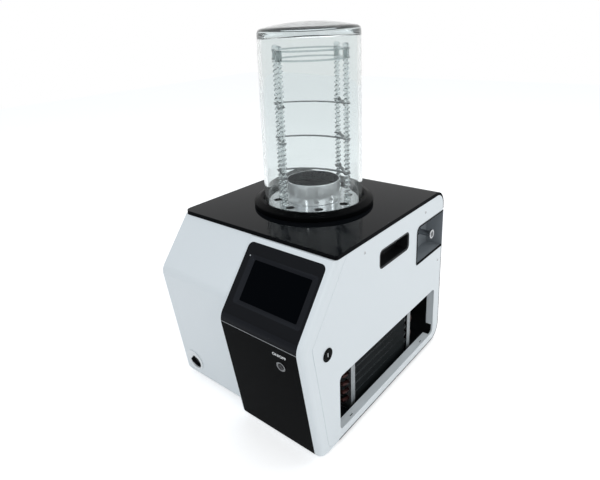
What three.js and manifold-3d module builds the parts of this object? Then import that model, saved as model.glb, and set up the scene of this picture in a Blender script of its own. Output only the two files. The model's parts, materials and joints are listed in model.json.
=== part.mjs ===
// Bench-top freeze dryer: a sheet-metal and moulded cabinet with a leaning front, a black console,
// a cold trap under a black top plate, and a clear bell jar over a sample rack.
// Millimetres, +Z up. X runs across the machine, the front looks along -Y. The part's frame stands at
// the middle of its footprint, on the surface that the rubber feet rest on.

import * as THREE from 'three';
import { mergeVertices } from 'three/addons/utils/BufferGeometryUtils.js';
import Module from 'manifold-3d';

const wasm = await Module();
wasm.setup();

// ---------------------------------------------------------------- driving dimensions

const SEAT = 0.3; // clearance between pieces that touch
const TAU = Math.PI * 2;

const BODY = {
	width: 450,
	height: 420, // from the cabinet's underside to the top plate's underside
	rear: 287, // outer face of the rear sheet, measured from the cabinet's own datum
	rearTopRadius: 34,
	rearFootRadius: 40,
	skin: 3, // side panels and wrap sheet
};

const FRONT = {
	topY: -195, // front edge of the upper face, at the top plate
	lean: 0.79, // how far the upper face comes forward for each millimetre it goes down
	foldZ: 308, // height of the fold on the plain half
	footY: -238, // where the plain half's lower face meets the underside
	noseRadius: 36,
	footRadius: 14,
	edgeWidth: 10, // the rounding into the sides, across ...
	edgeDepth: 13, // ... and back
	sideReach: 30, // how far the shell runs back along the sides, to the seam
	wall: 3,
	sideWall: 6,
	backY: -160,
	flange: 15, // landing behind the seam that carries the side panel
	seam: 0.6,
};

const CONSOLE = {
	left: 3,
	step: 3, // how far the console's upper face stands in front of the plain half
	foldZ: 279,
	footY: -262,
	edge: 5,
	panelLeft: 9,
	panelWidth: 201.5,
	panelTop: 411,
	panelFoot: 3,
	panelThick: 3,
	cornerRadius: 12,
	seamZ: 268.5,
	seamGap: 1.2,
};

const SCREEN = {
	x: 114.5, z: 349.5, width: 151, height: 88, radius: 2.5,
	frame: [14, 9], frameDepth: 2.5, frameRadius: 7, // the sloping frame round the glass
	overlap: 3, glass: 2, // how far the glass runs behind the frame, and its thickness
	can: [140, 80, 22], canOpening: 4,
};
const LAMP = { x: 24, z: 388, radius: 1.6 };
const BUTTON = { x: 165, z: 222, barrel: 9.3, flange: 11, proud: 1.6, cap: 7, travel: 2, depth: 24 };
const DRAIN = {
	x: -180, z: 50, barrel: 26, flange: 29, lip: 2, depth: 18,
	mouth: 19, mouthX: 3, mouthZ: -4, cup: 2, // the round mouth sits a little off the collar's middle
	nozzle: 11, bore: 5, hose: 7.5,
};

const PORT = { y: -231, z: 234, flange: 14.5, barrel: 11.5, proud: 2, depth: 22, socket: [13, 6, 12] };
const HANDLE = { y0: -36, y1: 98.5, z0: 332, z1: 378, radius: 12, depth: 35, wall: 2.5 };
const RECESS = { y0: 138, z0: 269, z1: 372, depth: 46.5, wall: 2.5, radius: 16 };
const SPIGOT = { y: 233, z: 320, barrel: 7.5, flange: 12, bore: 4.5, reach: 221, flangeThick: 5, tail: 12 };
const WINDOW = {
	y0: -191, y1: 253, z0: 22, z1: 156, radius: 11,
	liner: 17, linerWall: 2, frame: 4,
	relief: 9, gap: [15, 21], // what is cut away at three corners, and at the lower rear one
	slot: { length: 11, width: 3, near: 3.5, fromFront: 53, fromRear: 57 }, // two in the lower tab
};
const SCREW = { head: 3.2, headHigh: 1.5, shank: 1.5, length: 8, places: [[-96, 398], [181, 397], [264, 236]] };

const COVER = {
	thick: 9, rearTail: 375, edge: 1.2, cornerRadius: 20, edgeRadius: 6,
	mouth: 10, // from the cold trap's wall out to the edge of the plate's hole
};
const WRAP = { frontY: -195.5, vents: 8, ventRows: 2, vent: [8, 52], ventPitch: 22, ventX: -150, ventZ: 70 };
const INLET = { x: 120, z: 75, width: 28, height: 48, flange: 4, proud: 2, depth: 30, pin: [2, 5, 14] };
const FOOT = { height: 10, radius: 15, toe: 12.5, x: 178, yFront: -185, yRear: 225 };

const BELL = {
	y: 30, radius: 120, taper: 2.5, wall: 8, height: 425, seat: 8, segments: 36,
	dome: 380, shoulder: 9, // radii of the domed top and of the turn into it
};
const RING = {
	height: 23,
	foot: 26, collar: 8, groove: 1, // outside the bell's outer face
	ledge: 4, // from the cold trap's wall in to the ring's bore
	spigotGap: 1, // between the ring and the plate's hole
};
const DISC = { thick: 2, holes: 8, holeRadius: 10, pitchRadius: 88, bellGap: 0.5, landing: 3 };
const TUBE = { radius: 64.5, wall: 1.5, height: 49.5, lip: 2 };
const TRAP = {
	inset: 12, // from the bell's outer face in to the trap's wall
	wall: 2, depth: 165, flange: 42, flangeThick: 3, dish: 12,
};
const TRAP_RADIUS = BELL.radius - TRAP.inset;
const HOLE_RADIUS = TRAP_RADIUS + COVER.mouth;
const JACKET = { gap: 21, wall: 26, base: 20 };
const COIL = { pipe: 4.5, turns: 4, pitch: 30, drop: 21, steps: 10 };

const RACK = {
	turn: 48.8, // degrees from +X to the middle of one pair of posts
	spread: 27.5, // half the angle between the two posts of a pair
	clear: 19.5, // from the guide tube's wall out to the middle of each post
	post: 4,
	sleeve: 6,
	foot: 8,
	footHigh: 5,
	ear: 9,
	shelves: [75, 158, 241], // above the disc's seat level, in the same measure as BELL.height
	shelfThick: 2,
	band: 9,
	bow: 27, // how far a shelf's cross bar bows to the rear of the straight line between its posts
	top: 342,
	topThick: 4,
	topRise: 20, // from the lower ring of the rack's head to the upper one
	knob: 10,
};

const CONDENSER = {
	x0: 138, x1: 200, y0: -112, y1: 167, z1: 172,
	plate: 2, flange: 16, finPitch: 24, fin: 2, spine: 8, tube: 4.7, levels: 6, pitch: 21.5, firstZ: 36,
	rowX: [166, 190], stub: 6,
};
const FAN = { x: 112, radius: 62, hub: 18, depth: 14, blades: 5, shroudX: 134, collar: 70, collarDeep: 26 };
const MOTOR = { radius: 32, length: 46, shaft: 4, arms: 3 };
const COMPRESSOR = { x: -95, y: 95, radius: 78, height: 165, plate: [190, 170, 5], sides: 20 };
const DRIER = { x: 8, y: -120, z: 60, radius: 10, length: 80 };

// ---------------------------------------------------------------- helpers: solids and outlines

// A closed three.js geometry as a solid that can be cut and joined.
function solid(geometry) {
	const bare = geometry.clone();
	bare.deleteAttribute('normal');
	bare.deleteAttribute('uv');
	const merged = mergeVertices(bare, 1e-4);
	return new wasm.Manifold(new wasm.Mesh({
		numProp: 3,
		vertProperties: new Float32Array(merged.attributes.position.array),
		triVerts: new Uint32Array(merged.index.array),
	}));
}

// A cut or joined solid back as a flat-shaded three.js geometry.
function geometryOf(made) {
	const mesh = made.getMesh();
	const geometry = new THREE.BufferGeometry();
	geometry.setAttribute('position', new THREE.BufferAttribute(new Float32Array(mesh.vertProperties), 3));
	geometry.setIndex(new THREE.BufferAttribute(new Uint32Array(mesh.triVerts), 1));
	const flat = geometry.toNonIndexed();
	flat.computeVertexNormals();
	return flat;
}

const AXES = {
	X: [[0, 1, 0], [0, 0, 1], [1, 0, 0]], // outline in (y, z), pushed along X
	Y: [[0, 0, 1], [1, 0, 0], [0, 1, 0]], // outline in (z, x), pushed along Y
	Z: [[1, 0, 0], [0, 1, 0], [0, 0, 1]], // outline in (x, y), pushed along Z
};

function turned(geometry, axis) {
	const [u, v, w] = AXES[axis].map((a) => new THREE.Vector3(...a));
	return geometry.applyMatrix4(new THREE.Matrix4().makeBasis(u, v, w));
}

// A flat outline pushed along an axis from one coordinate to another.
function prism(axis, shape, from, to, curveSegments = 2) {
	const geometry = new THREE.ExtrudeGeometry(shape, { depth: to - from, bevelEnabled: false, curveSegments });
	geometry.translate(0, 0, from);
	return turned(geometry, axis);
}

function box(x0, x1, y0, y1, z0, z1) {
	const geometry = new THREE.BoxGeometry(x1 - x0, y1 - y0, z1 - z0);
	return geometry.translate((x0 + x1) / 2, (y0 + y1) / 2, (z0 + z1) / 2);
}

// A profile of [radius, height] points turned about an axis through the origin.
function lathe(profile, segments = 32, axis = 'Z') {
	const points = profile.map(([r, h]) => new THREE.Vector2(r, h));
	const geometry = new THREE.LatheGeometry(points, segments);
	geometry.rotateX(Math.PI / 2);
	geometry.rotateZ(TAU / segments / 2);
	return turned(geometry, axis);
}

// A ring's closed profile between two radii.
const ringProfile = (r0, r1, h0, h1) => [[r0, h0], [r1, h0], [r1, h1], [r0, h1], [r0, h0]];
const discProfile = (r, h0, h1) => [[0, h0], [r, h0], [r, h1], [0, h1]];

// An outline through corners [u, v, radius], each rounded by its own radius.
function outline(corners) {
	const shape = new THREE.Shape();
	const at = (i) => new THREE.Vector2(corners[i][0], corners[i][1]);
	corners.forEach(([u, v, radius = 0], i) => {
		const here = new THREE.Vector2(u, v);
		const before = at((i + corners.length - 1) % corners.length).sub(here).normalize();
		const after = at((i + 1) % corners.length).sub(here).normalize();
		const draw = i ? 'lineTo' : 'moveTo';
		if (!radius) {
			shape[draw](u, v);
			return;
		}
		const half = Math.acos(THREE.MathUtils.clamp(before.dot(after), -1, 1)) / 2;
		const run = radius / Math.tan(half);
		const start = here.clone().addScaledVector(before, run);
		const end = here.clone().addScaledVector(after, run);
		const centre = here.clone().addScaledVector(before.clone().add(after).normalize(), radius / Math.sin(half));
		const angle = (p) => Math.atan2(p.y - centre.y, p.x - centre.x);
		const clockwise = before.cross(after) > 0;
		shape[draw](start.x, start.y);
		shape.absarc(centre.x, centre.y, radius, angle(start), angle(end), clockwise);
	});
	shape.closePath();
	return shape;
}

const rectangle = (u0, u1, v0, v1, r = 0) => outline([[u0, v0, r], [u1, v0, r], [u1, v1, r], [u0, v1, r]]);

// A round hole as a polygon whose flats clear the radius.
function circle(u, v, radius, sides = 20) {
	const shape = new THREE.Shape();
	const reach = radius / Math.cos(Math.PI / sides);
	for (let k = 0; k < sides; k++) {
		const a = (TAU * (k + 0.5)) / sides;
		shape[k ? 'lineTo' : 'moveTo'](u + reach * Math.cos(a), v + reach * Math.sin(a));
	}
	shape.closePath();
	return shape;
}

// A pipe's centre line: straight runs whose corners are rounded by a bend radius.
class PipeRun extends THREE.Curve {
	constructor(corners, bend, steps = 4) {
		super();
		const points = corners.map((c) => new THREE.Vector3(...c));
		this.nodes = [points[0]];
		for (let i = 1; i < points.length - 1; i++) {
			const into = points[i].clone().sub(points[i - 1]).normalize();
			const out = points[i + 1].clone().sub(points[i]).normalize();
			const turn = into.angleTo(out);
			const run = bend * Math.tan(turn / 2);
			const normal = out.clone().sub(into).normalize();
			const centre = points[i].clone().addScaledVector(normal, bend / Math.cos(turn / 2));
			const axis = into.clone().cross(out).normalize();
			const start = points[i].clone().addScaledVector(into, -run).sub(centre);
			for (let k = 0; k <= steps; k++) {
				this.nodes.push(start.clone().applyAxisAngle(axis, (turn * k) / steps).add(centre));
			}
		}
		this.nodes.push(points[points.length - 1]);
	}

	getPoint(t, target = new THREE.Vector3()) {
		const at = t * (this.nodes.length - 1);
		const i = Math.min(Math.floor(at), this.nodes.length - 2);
		return target.lerpVectors(this.nodes[i], this.nodes[i + 1], at - i);
	}

	getPointAt(u, target) {
		return this.getPoint(u, target);
	}

	getTangentAt(u, target = new THREE.Vector3()) {
		const i = Math.round(u * (this.nodes.length - 1));
		const before = this.nodes[Math.max(i - 1, 0)];
		const after = this.nodes[Math.min(i + 1, this.nodes.length - 1)];
		return target.subVectors(after, before).normalize();
	}
}

// A centre line given by its own points, such as a coil's.
class PointRun extends PipeRun {
	constructor(points) {
		super([points[0], points[points.length - 1]], 1);
		this.nodes = points.map((p) => new THREE.Vector3(...p));
	}
}

function pipe(run, radius, sides = 8) {
	const shape = new THREE.Shape();
	for (let k = 0; k < sides; k++) {
		const a = (TAU * k) / sides;
		shape[k ? 'lineTo' : 'moveTo'](radius * Math.cos(a), radius * Math.sin(a));
	}
	return new THREE.ExtrudeGeometry(shape, { steps: run.nodes.length - 1, extrudePath: run });
}

// Sections [x, ring of (y, z)] joined one to the next and capped, for a form that swells along X.
function loft(sections) {
	const count = sections[0].ring.length;
	const position = sections.flatMap(({ x, ring }) => ring.flatMap(([y, z]) => [x, y, z]));
	const index = [];
	for (let s = 0; s < sections.length - 1; s++) {
		for (let k = 0; k < count; k++) {
			const a = s * count + k;
			const b = s * count + ((k + 1) % count);
			index.push(a, b, b + count, a, b + count, a + count);
		}
	}
	const last = (sections.length - 1) * count;
	for (let k = 1; k < count - 1; k++) {
		index.push(0, k + 1, k);
		index.push(last, last + k, last + k + 1);
	}
	const geometry = new THREE.BufferGeometry();
	geometry.setAttribute('position', new THREE.Float32BufferAttribute(position, 3));
	geometry.setIndex(index);
	return geometry;
}

// A piece's mesh. Everything above the underside is lifted by the feet when the group is placed.
function piece(name, geometry, { color, roughness = 0.5, metalness = 0 }) {
	const mesh = new THREE.Mesh(geometry, new THREE.MeshStandardMaterial({ color, roughness, metalness }));
	mesh.name = name;
	return mesh;
}

const FINISH = {
	white: { color: 0xdde3e6, roughness: 0.45 },
	black: { color: 0x17191d, roughness: 0.35 },
	gloss: { color: 0x202226, roughness: 0.12 },
	grey: { color: 0x3c4046, roughness: 0.5 },
	rubber: { color: 0x101012, roughness: 0.8 },
	acrylic: { color: 0xe8eef0, roughness: 0.05 },
	steel: { color: 0xc9ccd0, roughness: 0.25, metalness: 1 },
	zinc: { color: 0xb4b8ba, roughness: 0.45, metalness: 1 },
	copper: { color: 0xb87350, roughness: 0.35, metalness: 1 },
	foam: { color: 0x2a2b2d, roughness: 0.95 },
	plastic: { color: 0xf2f3f2, roughness: 0.4 },
	brass: { color: 0xc5a35a, roughness: 0.35, metalness: 1 },
};

// ---------------------------------------------------------------- front profiles

const HALF = BODY.width / 2;
const BODY_TOP = BODY.height;
const PLATE_TOP = BODY.height + COVER.thick;

// The two faces of a front profile, as lines through (y, z) points.
const upperY = (z, step = 0) => FRONT.topY - step * Math.hypot(1, FRONT.lean) - (BODY_TOP - z) * FRONT.lean;

function frontFaces(form) {
	const step = form.step ?? 0;
	const top = [upperY(BODY_TOP, step), BODY_TOP];
	const fold = [upperY(form.foldZ, step), form.foldZ];
	return { top, fold, foot: [form.footY, 0] };
}

const PLAIN = frontFaces(FRONT);
const DESK = frontFaces(CONSOLE);

// A line through two points moved to its right by a distance, as {point, direction}.
function movedLine([y0, z0], [y1, z1], inset) {
	const direction = new THREE.Vector2(y1 - y0, z1 - z0).normalize();
	const inward = new THREE.Vector2(-direction.y, direction.x);
	return { point: new THREE.Vector2(y0, z0).addScaledVector(inward, inset), direction };
}

function crossing(a, b) {
	const gap = b.point.clone().sub(a.point);
	return a.point.clone().addScaledVector(a.direction, gap.cross(b.direction) / a.direction.cross(b.direction));
}

// Points of the arc that rounds the corner between two lines, from the first line to the second.
function cornerArc(first, second, radius, steps) {
	const corner = crossing(first, second);
	const turn = first.direction.angleTo(second.direction);
	const run = radius * Math.tan(turn / 2);
	const start = corner.clone().addScaledVector(first.direction, -run);
	const inward = new THREE.Vector2(-first.direction.y, first.direction.x);
	const centre = start.clone().addScaledVector(inward, radius);
	const points = [];
	for (let k = 0; k <= steps; k++) {
		const p = start.clone().rotateAround(centre, (turn * k) / steps);
		points.push([p.x, p.y]);
	}
	return points;
}

// The front profile set in by a distance, from the top rear corner round the nose to the bottom rear one.
function frontRing(faces, inset, { backY = FRONT.backY, noseSteps = 5, footSteps = 3, lift = 0 } = {}) {
	const upper = movedLine(faces.top, faces.fold, inset);
	const lower = movedLine(faces.fold, faces.foot, inset);
	const roofZ = BODY_TOP - SEAT - lift;
	const roof = { point: new THREE.Vector2(0, roofZ), direction: new THREE.Vector2(-1, 0) };
	const floor = { point: new THREE.Vector2(0, lift), direction: new THREE.Vector2(1, 0) };
	const brow = crossing(roof, upper);
	return [
		[backY, roofZ],
		[brow.x, brow.y],
		...cornerArc(upper, lower, Math.max(FRONT.noseRadius - inset, 2), noseSteps),
		...cornerArc(lower, floor, FRONT.footRadius, footSteps),
		[backY, lift],
	];
}

// Insets and stations of a side edge rounded as a quarter ellipse.
function edgeStations(x, towards, width, depth, steps = 4) {
	const stations = [];
	for (let k = 0; k <= steps; k++) {
		const a = (Math.PI / 2) * (k / steps);
		stations.push({ x: x - towards * width * (1 - Math.sin(a)), inset: depth * (1 - Math.cos(a)) });
	}
	return towards > 0 ? stations : stations.reverse();
}

function frontForm(faces, left, right, inset = 0, options = {}) {
	const stations = [
		...edgeStations(left.x, -1, left.width, left.depth, left.steps),
		...edgeStations(right.x, 1, right.width, right.depth, right.steps),
	];
	return loft(stations.map((s) => ({ x: s.x, ring: frontRing(faces, inset + s.inset, options) })));
}

// The console's skin between two heights: a sheet that follows its front profile.
function deskSkin(x0, x1, outer, inner, zLow, zHigh) {
	const face = solid(prism('X', outline(frontRing(DESK, outer, { noseSteps: 8 })), x0, x1));
	const core = solid(prism('X', outline(frontRing(DESK, inner, { noseSteps: 8 })), x0 - 1, x1 + 1));
	const band = solid(box(x0, x1, DESK.fold[0] - 50, FRONT.backY - 2, zLow, zHigh));
	return face.subtract(core).intersect(band);
}

// A frame lying on a front face: u across, v up the slope, w out of the face.
function faceFrame(low, high, x, z) {
	const up = new THREE.Vector3(0, high[0] - low[0], high[1] - low[1]).normalize();
	const across = new THREE.Vector3(1, 0, 0);
	const out = across.clone().cross(up);
	const y = low[0] + ((z - low[1]) * (high[0] - low[0])) / (high[1] - low[1]);
	return new THREE.Matrix4().makeBasis(across, up, out).setPosition(x, y, z);
}

const onUpper = (x, z) => faceFrame(DESK.fold, DESK.top, x, z);
const onLower = (x, z) => faceFrame(DESK.foot, DESK.fold, x, z);
const onPlainLower = (x, z) => faceFrame(PLAIN.foot, PLAIN.fold, x, z);

// ---------------------------------------------------------------- side panels

// The side panel's outline: behind the front's rounding, under the top plate, inside the rear sheet.
function sideOutline(faces, grow = 0) {
	const inset = FRONT.sideReach + FRONT.seam;
	const upper = movedLine(faces.top, faces.fold, inset - grow);
	const lower = movedLine(faces.fold, faces.foot, inset - grow);
	const roofZ = BODY_TOP - SEAT + grow;
	const floorZ = BODY.skin + SEAT - grow;
	const rearY = BODY.rear - BODY.skin - SEAT + grow;
	const roof = { point: new THREE.Vector2(0, roofZ), direction: new THREE.Vector2(-1, 0) };
	const floor = { point: new THREE.Vector2(0, floorZ), direction: new THREE.Vector2(1, 0) };
	const brow = crossing(roof, upper);
	const nose = crossing(upper, lower);
	const foot = crossing(lower, floor);
	return outline([
		[brow.x, brow.y],
		[nose.x, nose.y, Math.max(FRONT.noseRadius - inset, 4) + grow],
		[foot.x, foot.y, 22 + grow],
		[rearY, floorZ, BODY.rearFootRadius - BODY.skin + grow],
		[rearY, roofZ, BODY.rearTopRadius + grow],
	]);
}

const handleOpening = (grow = 0) => rectangle(
	HANDLE.y0 - grow, HANDLE.y1 + grow, HANDLE.z0 - grow, HANDLE.z1 + grow, HANDLE.radius + grow);
const windowOpening = (grow = 0) => rectangle(
	WINDOW.y0 - grow, WINDOW.y1 + grow, WINDOW.z0 - grow, WINDOW.z1 + grow, WINDOW.radius + grow);
const recessOpening = (grow = 0) => outline([
	[RECESS.y0 - grow, RECESS.z0 - grow, 8], [BODY.rear + 20, RECESS.z0 - grow],
	[BODY.rear + 20, RECESS.z1 + grow], [RECESS.y0 - grow, RECESS.z1 + grow, RECESS.radius],
]);

const SIDE_X = [HALF - BODY.skin, HALF];
const cutter = (axis, shape, from = SIDE_X[0] - 1, to = SIDE_X[1] + 1) => solid(prism(axis, shape, from, to));

function screwHoles(panel) {
	return SCREW.places.reduce((made, [y, z]) => made.subtract(cutter('X', circle(y, z, SCREW.shank + SEAT))), panel);
}

function rightPanel() {
	let made = solid(prism('X', sideOutline(DESK), ...SIDE_X, 3));
	made = screwHoles(made)
		.subtract(cutter('X', handleOpening()))
		.subtract(cutter('X', recessOpening()))
		.subtract(cutter('X', windowOpening()))
		.subtract(cutter('X', circle(PORT.y, PORT.z, PORT.barrel + SEAT)));
	return piece('side_panel_right', geometryOf(made), FINISH.white);
}

const LOUVRE = { rows: 2, count: 7, width: 7, height: 52, pitch: 22, y: -20, z: 48, rowPitch: 68 };

function leftPanel() {
	let made = solid(prism('X', sideOutline(PLAIN), ...SIDE_X, 3));
	made = screwHoles(made).subtract(cutter('X', handleOpening()));
	for (let row = 0; row < LOUVRE.rows; row++) {
		for (let k = 0; k < LOUVRE.count; k++) {
			const y = LOUVRE.y + k * LOUVRE.pitch;
			const z = LOUVRE.z + row * LOUVRE.rowPitch;
			made = made.subtract(cutter('X', rectangle(y, y + LOUVRE.width, z, z + LOUVRE.height)));
		}
	}
	return piece('side_panel_left', geometryOf(made.mirror([1, 0, 0])), FINISH.white);
}

// ---------------------------------------------------------------- front shell and console

// A rounded rectangle laid on a face and pushed through it.
function throughFace(frame, shape, out, depth) {
	return solid(new THREE.ExtrudeGeometry(shape, { depth: out + depth, bevelEnabled: false, curveSegments: 2 })
		.translate(0, 0, -depth).applyMatrix4(frame));
}

const panelRight = CONSOLE.panelLeft + CONSOLE.panelWidth;
const panelMiddle = CONSOLE.panelLeft + CONSOLE.panelWidth / 2;

// The rounded top corners of the console's black panels, as a prism square to the upper face.
function panelCorners(grow) {
	const half = CONSOLE.panelWidth / 2 + grow;
	const shape = rectangle(-half, half, -260, grow, CONSOLE.cornerRadius + grow);
	return throughFace(onUpper(panelMiddle, CONSOLE.panelTop), shape, 60, 160);
}

function panelPocket() {
	const { panelLeft, panelThick, panelFoot, panelTop, seamZ } = CONSOLE;
	const skin = (low, high) => deskSkin(panelLeft - SEAT, panelRight + SEAT, -20, panelThick + SEAT, low, high);
	return skin(seamZ - 1, panelTop + 10).intersect(panelCorners(SEAT)).add(skin(panelFoot - SEAT, seamZ));
}

const screenFrame = () => onUpper(SCREEN.x, SCREEN.z);
const centred = (width, height, radius) => rectangle(-width / 2, width / 2, -height / 2, height / 2, radius);
const glassSeat = centred(SCREEN.width + 2 * SCREEN.overlap + 1, SCREEN.height + 2 * SCREEN.overlap + 1, 3);
const canOpening = centred(SCREEN.can[0] + 2 * SCREEN.canOpening, SCREEN.can[1] + 2 * SCREEN.canOpening, 3);

// The sloping recess round the screen: a wide opening at the face that narrows to the window.
function screenRecess() {
	const { width, height, radius, frame, frameDepth, frameRadius } = SCREEN;
	const ring = (w, h, r) => centred(w, h, r).getPoints(3).slice(0, -1).map((p) => [p.x, p.y]);
	const mouth = ring(width + 2 * frame[0], height + 2 * frame[1], frameRadius);
	const window = ring(width, height, radius);
	const sections = [
		{ x: -20, ring: window }, { x: -frameDepth, ring: window }, { x: 0, ring: mouth }, { x: 5, ring: mouth },
	];
	const upright = new THREE.Matrix4().set(0, 1, 0, 0, 0, 0, 1, 0, 1, 0, 0, 0, 0, 0, 0, 1);
	return solid(loft(sections).applyMatrix4(upright).applyMatrix4(screenFrame()));
}

function frontShell() {
	const side = { x: HALF, width: FRONT.edgeWidth, depth: FRONT.edgeDepth };
	const plain = frontForm(PLAIN, { ...side, x: -HALF }, { x: 100, width: 1, depth: 1, steps: 1 });
	const desk = frontForm(DESK, { x: CONSOLE.left, width: CONSOLE.edge, depth: CONSOLE.edge, steps: 3 }, side);
	const inner = { width: FRONT.edgeWidth - 3, depth: FRONT.edgeDepth - 3, steps: 4 };
	const lift = { backY: FRONT.backY + 1, lift: FRONT.wall };
	const hollow = frontForm(PLAIN, { ...inner, x: -HALF + FRONT.sideWall }, { x: 90, width: 1, depth: 1, steps: 1 },
		FRONT.wall, lift);
	const deskHollow = frontForm(DESK, { x: CONSOLE.left + FRONT.sideWall, width: 1, depth: 1, steps: 1 },
		{ ...inner, x: HALF - FRONT.sideWall }, FRONT.wall + CONSOLE.panelThick, lift);
	const pocketX = HALF - BODY.skin - SEAT;
	let made = solid(plain).add(solid(desk)).subtract(solid(hollow)).subtract(solid(deskHollow))
		.subtract(panelPocket())
		.subtract(throughFace(screenFrame(), glassSeat, 20, CONSOLE.panelThick + SCREEN.glass + 2 * SEAT))
		.subtract(throughFace(screenFrame(), canOpening, 20, 40))
		.subtract(solid(prism('X', sideOutline(DESK, FRONT.seam), pocketX, HALF + 1)))
		.subtract(solid(prism('X', sideOutline(PLAIN, FRONT.seam), -HALF - 1, -pocketX)))
		.subtract(solid(prism('X', sideOutline(DESK, -FRONT.flange), 100, HALF + 1)))
		.subtract(solid(prism('X', sideOutline(PLAIN, -FRONT.flange), -HALF - 1, -100)))
		.subtract(solid(box(-HALF - 1, HALF + 1, WRAP.frontY - SEAT, 0, -1, BODY.skin + 2 * SEAT)))
		.subtract(solid(box(100, HALF + 1, WINDOW.y0 - 6, 0, WINDOW.z0 - 6, WINDOW.z1 + 6)));
	made = made
		.subtract(throughFace(onLower(BUTTON.x, BUTTON.z), circle(0, 0, BUTTON.barrel + SEAT), 20, 20))
		.subtract(throughFace(onUpper(LAMP.x, LAMP.z), circle(0, 0, LAMP.radius + 1), 20, 20))
		.subtract(throughFace(onPlainLower(DRAIN.x, DRAIN.z), circle(0, 0, DRAIN.barrel + SEAT), 20, 20))
		.subtract(solid(prism('X', circle(PORT.y, PORT.z, PORT.barrel + SEAT), HALF - 30, HALF + 1)));
	return piece('front_shell', geometryOf(made), FINISH.white);
}

function upperBezel() {
	const { panelLeft, panelThick, panelTop, seamZ, seamGap } = CONSOLE;
	const made = deskSkin(panelLeft, panelRight, 0, panelThick, seamZ + seamGap / 2, panelTop + 10)
		.intersect(panelCorners(0))
		.subtract(screenRecess())
		.subtract(throughFace(onUpper(LAMP.x, LAMP.z), circle(0, 0, LAMP.radius + SEAT), 20, 20));
	return piece('upper_bezel', geometryOf(made), FINISH.black);
}

function lowerPanel() {
	const { panelLeft, panelThick, panelFoot, seamZ, seamGap } = CONSOLE;
	const made = deskSkin(panelLeft, panelRight, 0, panelThick, panelFoot, seamZ - seamGap / 2)
		.subtract(throughFace(onLower(BUTTON.x, BUTTON.z), circle(0, 0, BUTTON.barrel + SEAT), 20, 20));
	return piece('lower_panel', geometryOf(made), FINISH.black);
}

function touchScreen() {
	const { width, height, overlap, glass, can } = SCREEN;
	const front = CONSOLE.panelThick + SEAT;
	const pane = throughFace(screenFrame(), centred(width + 2 * overlap, height + 2 * overlap, 3), -front, front + glass);
	const housing = throughFace(screenFrame(), centred(can[0], can[1], 2), -front - glass / 2, front + can[2]);
	return piece('touch_screen', geometryOf(pane.add(housing)), FINISH.gloss);
}

function statusLamp() {
	const profile = [[0, -9], [LAMP.radius, -9], [LAMP.radius, 0.2], [0.9, 0.8], [0, 0.8]];
	return piece('status_lamp', lathe(profile, 12).applyMatrix4(onUpper(LAMP.x, LAMP.z)), FINISH.plastic);
}

function powerButton() {
	const { barrel, flange, proud, cap, depth, travel } = BUTTON;
	const floor = -travel - 3 * SEAT - 5;
	const ring = [
		[0, -depth], [barrel, -depth], [barrel, SEAT], [flange, SEAT], [flange, proud - 0.6],
		[flange - 0.6, proud], [cap + SEAT, proud], [cap + SEAT, floor], [0, floor],
	];
	const plunger = [[0, floor + travel + SEAT], [cap, floor + travel + SEAT], [cap, proud + 0.1],
		[cap - 0.6, proud + 0.5], [0, proud + 0.5]];
	const frame = onLower(BUTTON.x, BUTTON.z);
	return [
		piece('power_button_ring', lathe(ring, 20).applyMatrix4(frame), FINISH.steel),
		piece('power_button_cap', lathe(plunger, 16).applyMatrix4(frame), FINISH.steel),
	];
}

function drain() {
	const { barrel, flange, lip, depth, mouth, mouthX, mouthZ, cup, nozzle, bore } = DRAIN;
	const frame = onPlainLower(DRAIN.x, DRAIN.z);
	const disc = [[0, -depth], [barrel, -depth], [barrel, SEAT], [flange, SEAT], [flange, lip - 0.8], [flange - 0.8, lip], [0, lip]];
	const opening = lathe(discProfile(mouth, -depth - 1, lip + 1), 20).translate(mouthX, mouthZ, 0);
	const back = -depth - SEAT;
	const wall = mouth - SEAT;
	const valve = [
		[bore, back - 16], [nozzle + 3, back - 16], [nozzle + 3, back - 4], [mouth + 3, back - 4], [mouth + 3, back],
		[wall, back], [wall, -1], [wall - cup, -1], [wall - cup, back + 3], [nozzle, back + 3], [nozzle, -8],
		[nozzle - 2, -6], [bore, -6], [bore, back - 16],
	];
	return [
		piece('drain_collar', geometryOf(solid(lathe(disc, 24)).subtract(solid(opening))).applyMatrix4(frame), FINISH.plastic),
		piece('drain_valve', lathe(valve, 16).translate(mouthX, mouthZ, 0).applyMatrix4(frame), FINISH.black),
	];
}

// ---------------------------------------------------------------- right side fittings

function handleCup(name, side) {
	const { wall, depth } = HANDLE;
	const outer = solid(prism('X', handleOpening(-SEAT), HALF - depth, HALF + 0.4));
	const inner = solid(prism('X', handleOpening(-SEAT - wall), HALF - depth + wall, HALF + 1));
	const made = outer.subtract(inner);
	return piece(name, geometryOf(side < 0 ? made.mirror([1, 0, 0]) : made), FINISH.black);
}

function portRecess() {
	const { y0, z0, z1, depth, wall, radius } = RECESS;
	const tray = (shrink) => outline([
		[y0 + shrink, z0 + shrink, 8 - shrink / 2], [BODY.rear - shrink, z0 + shrink],
		[BODY.rear - shrink, z1 - shrink], [y0 + shrink, z1 - shrink, radius - shrink],
	]);
	const made = solid(prism('X', tray(SEAT), HALF - depth, HALF + 0.4))
		.subtract(solid(prism('X', tray(SEAT + wall), HALF - depth + wall, HALF + 1)))
		.subtract(solid(prism('X', circle(SPIGOT.y, SPIGOT.z, SPIGOT.barrel + SEAT), HALF - depth - 1, HALF)));
	return piece('port_recess', geometryOf(made), FINISH.grey);
}

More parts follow.
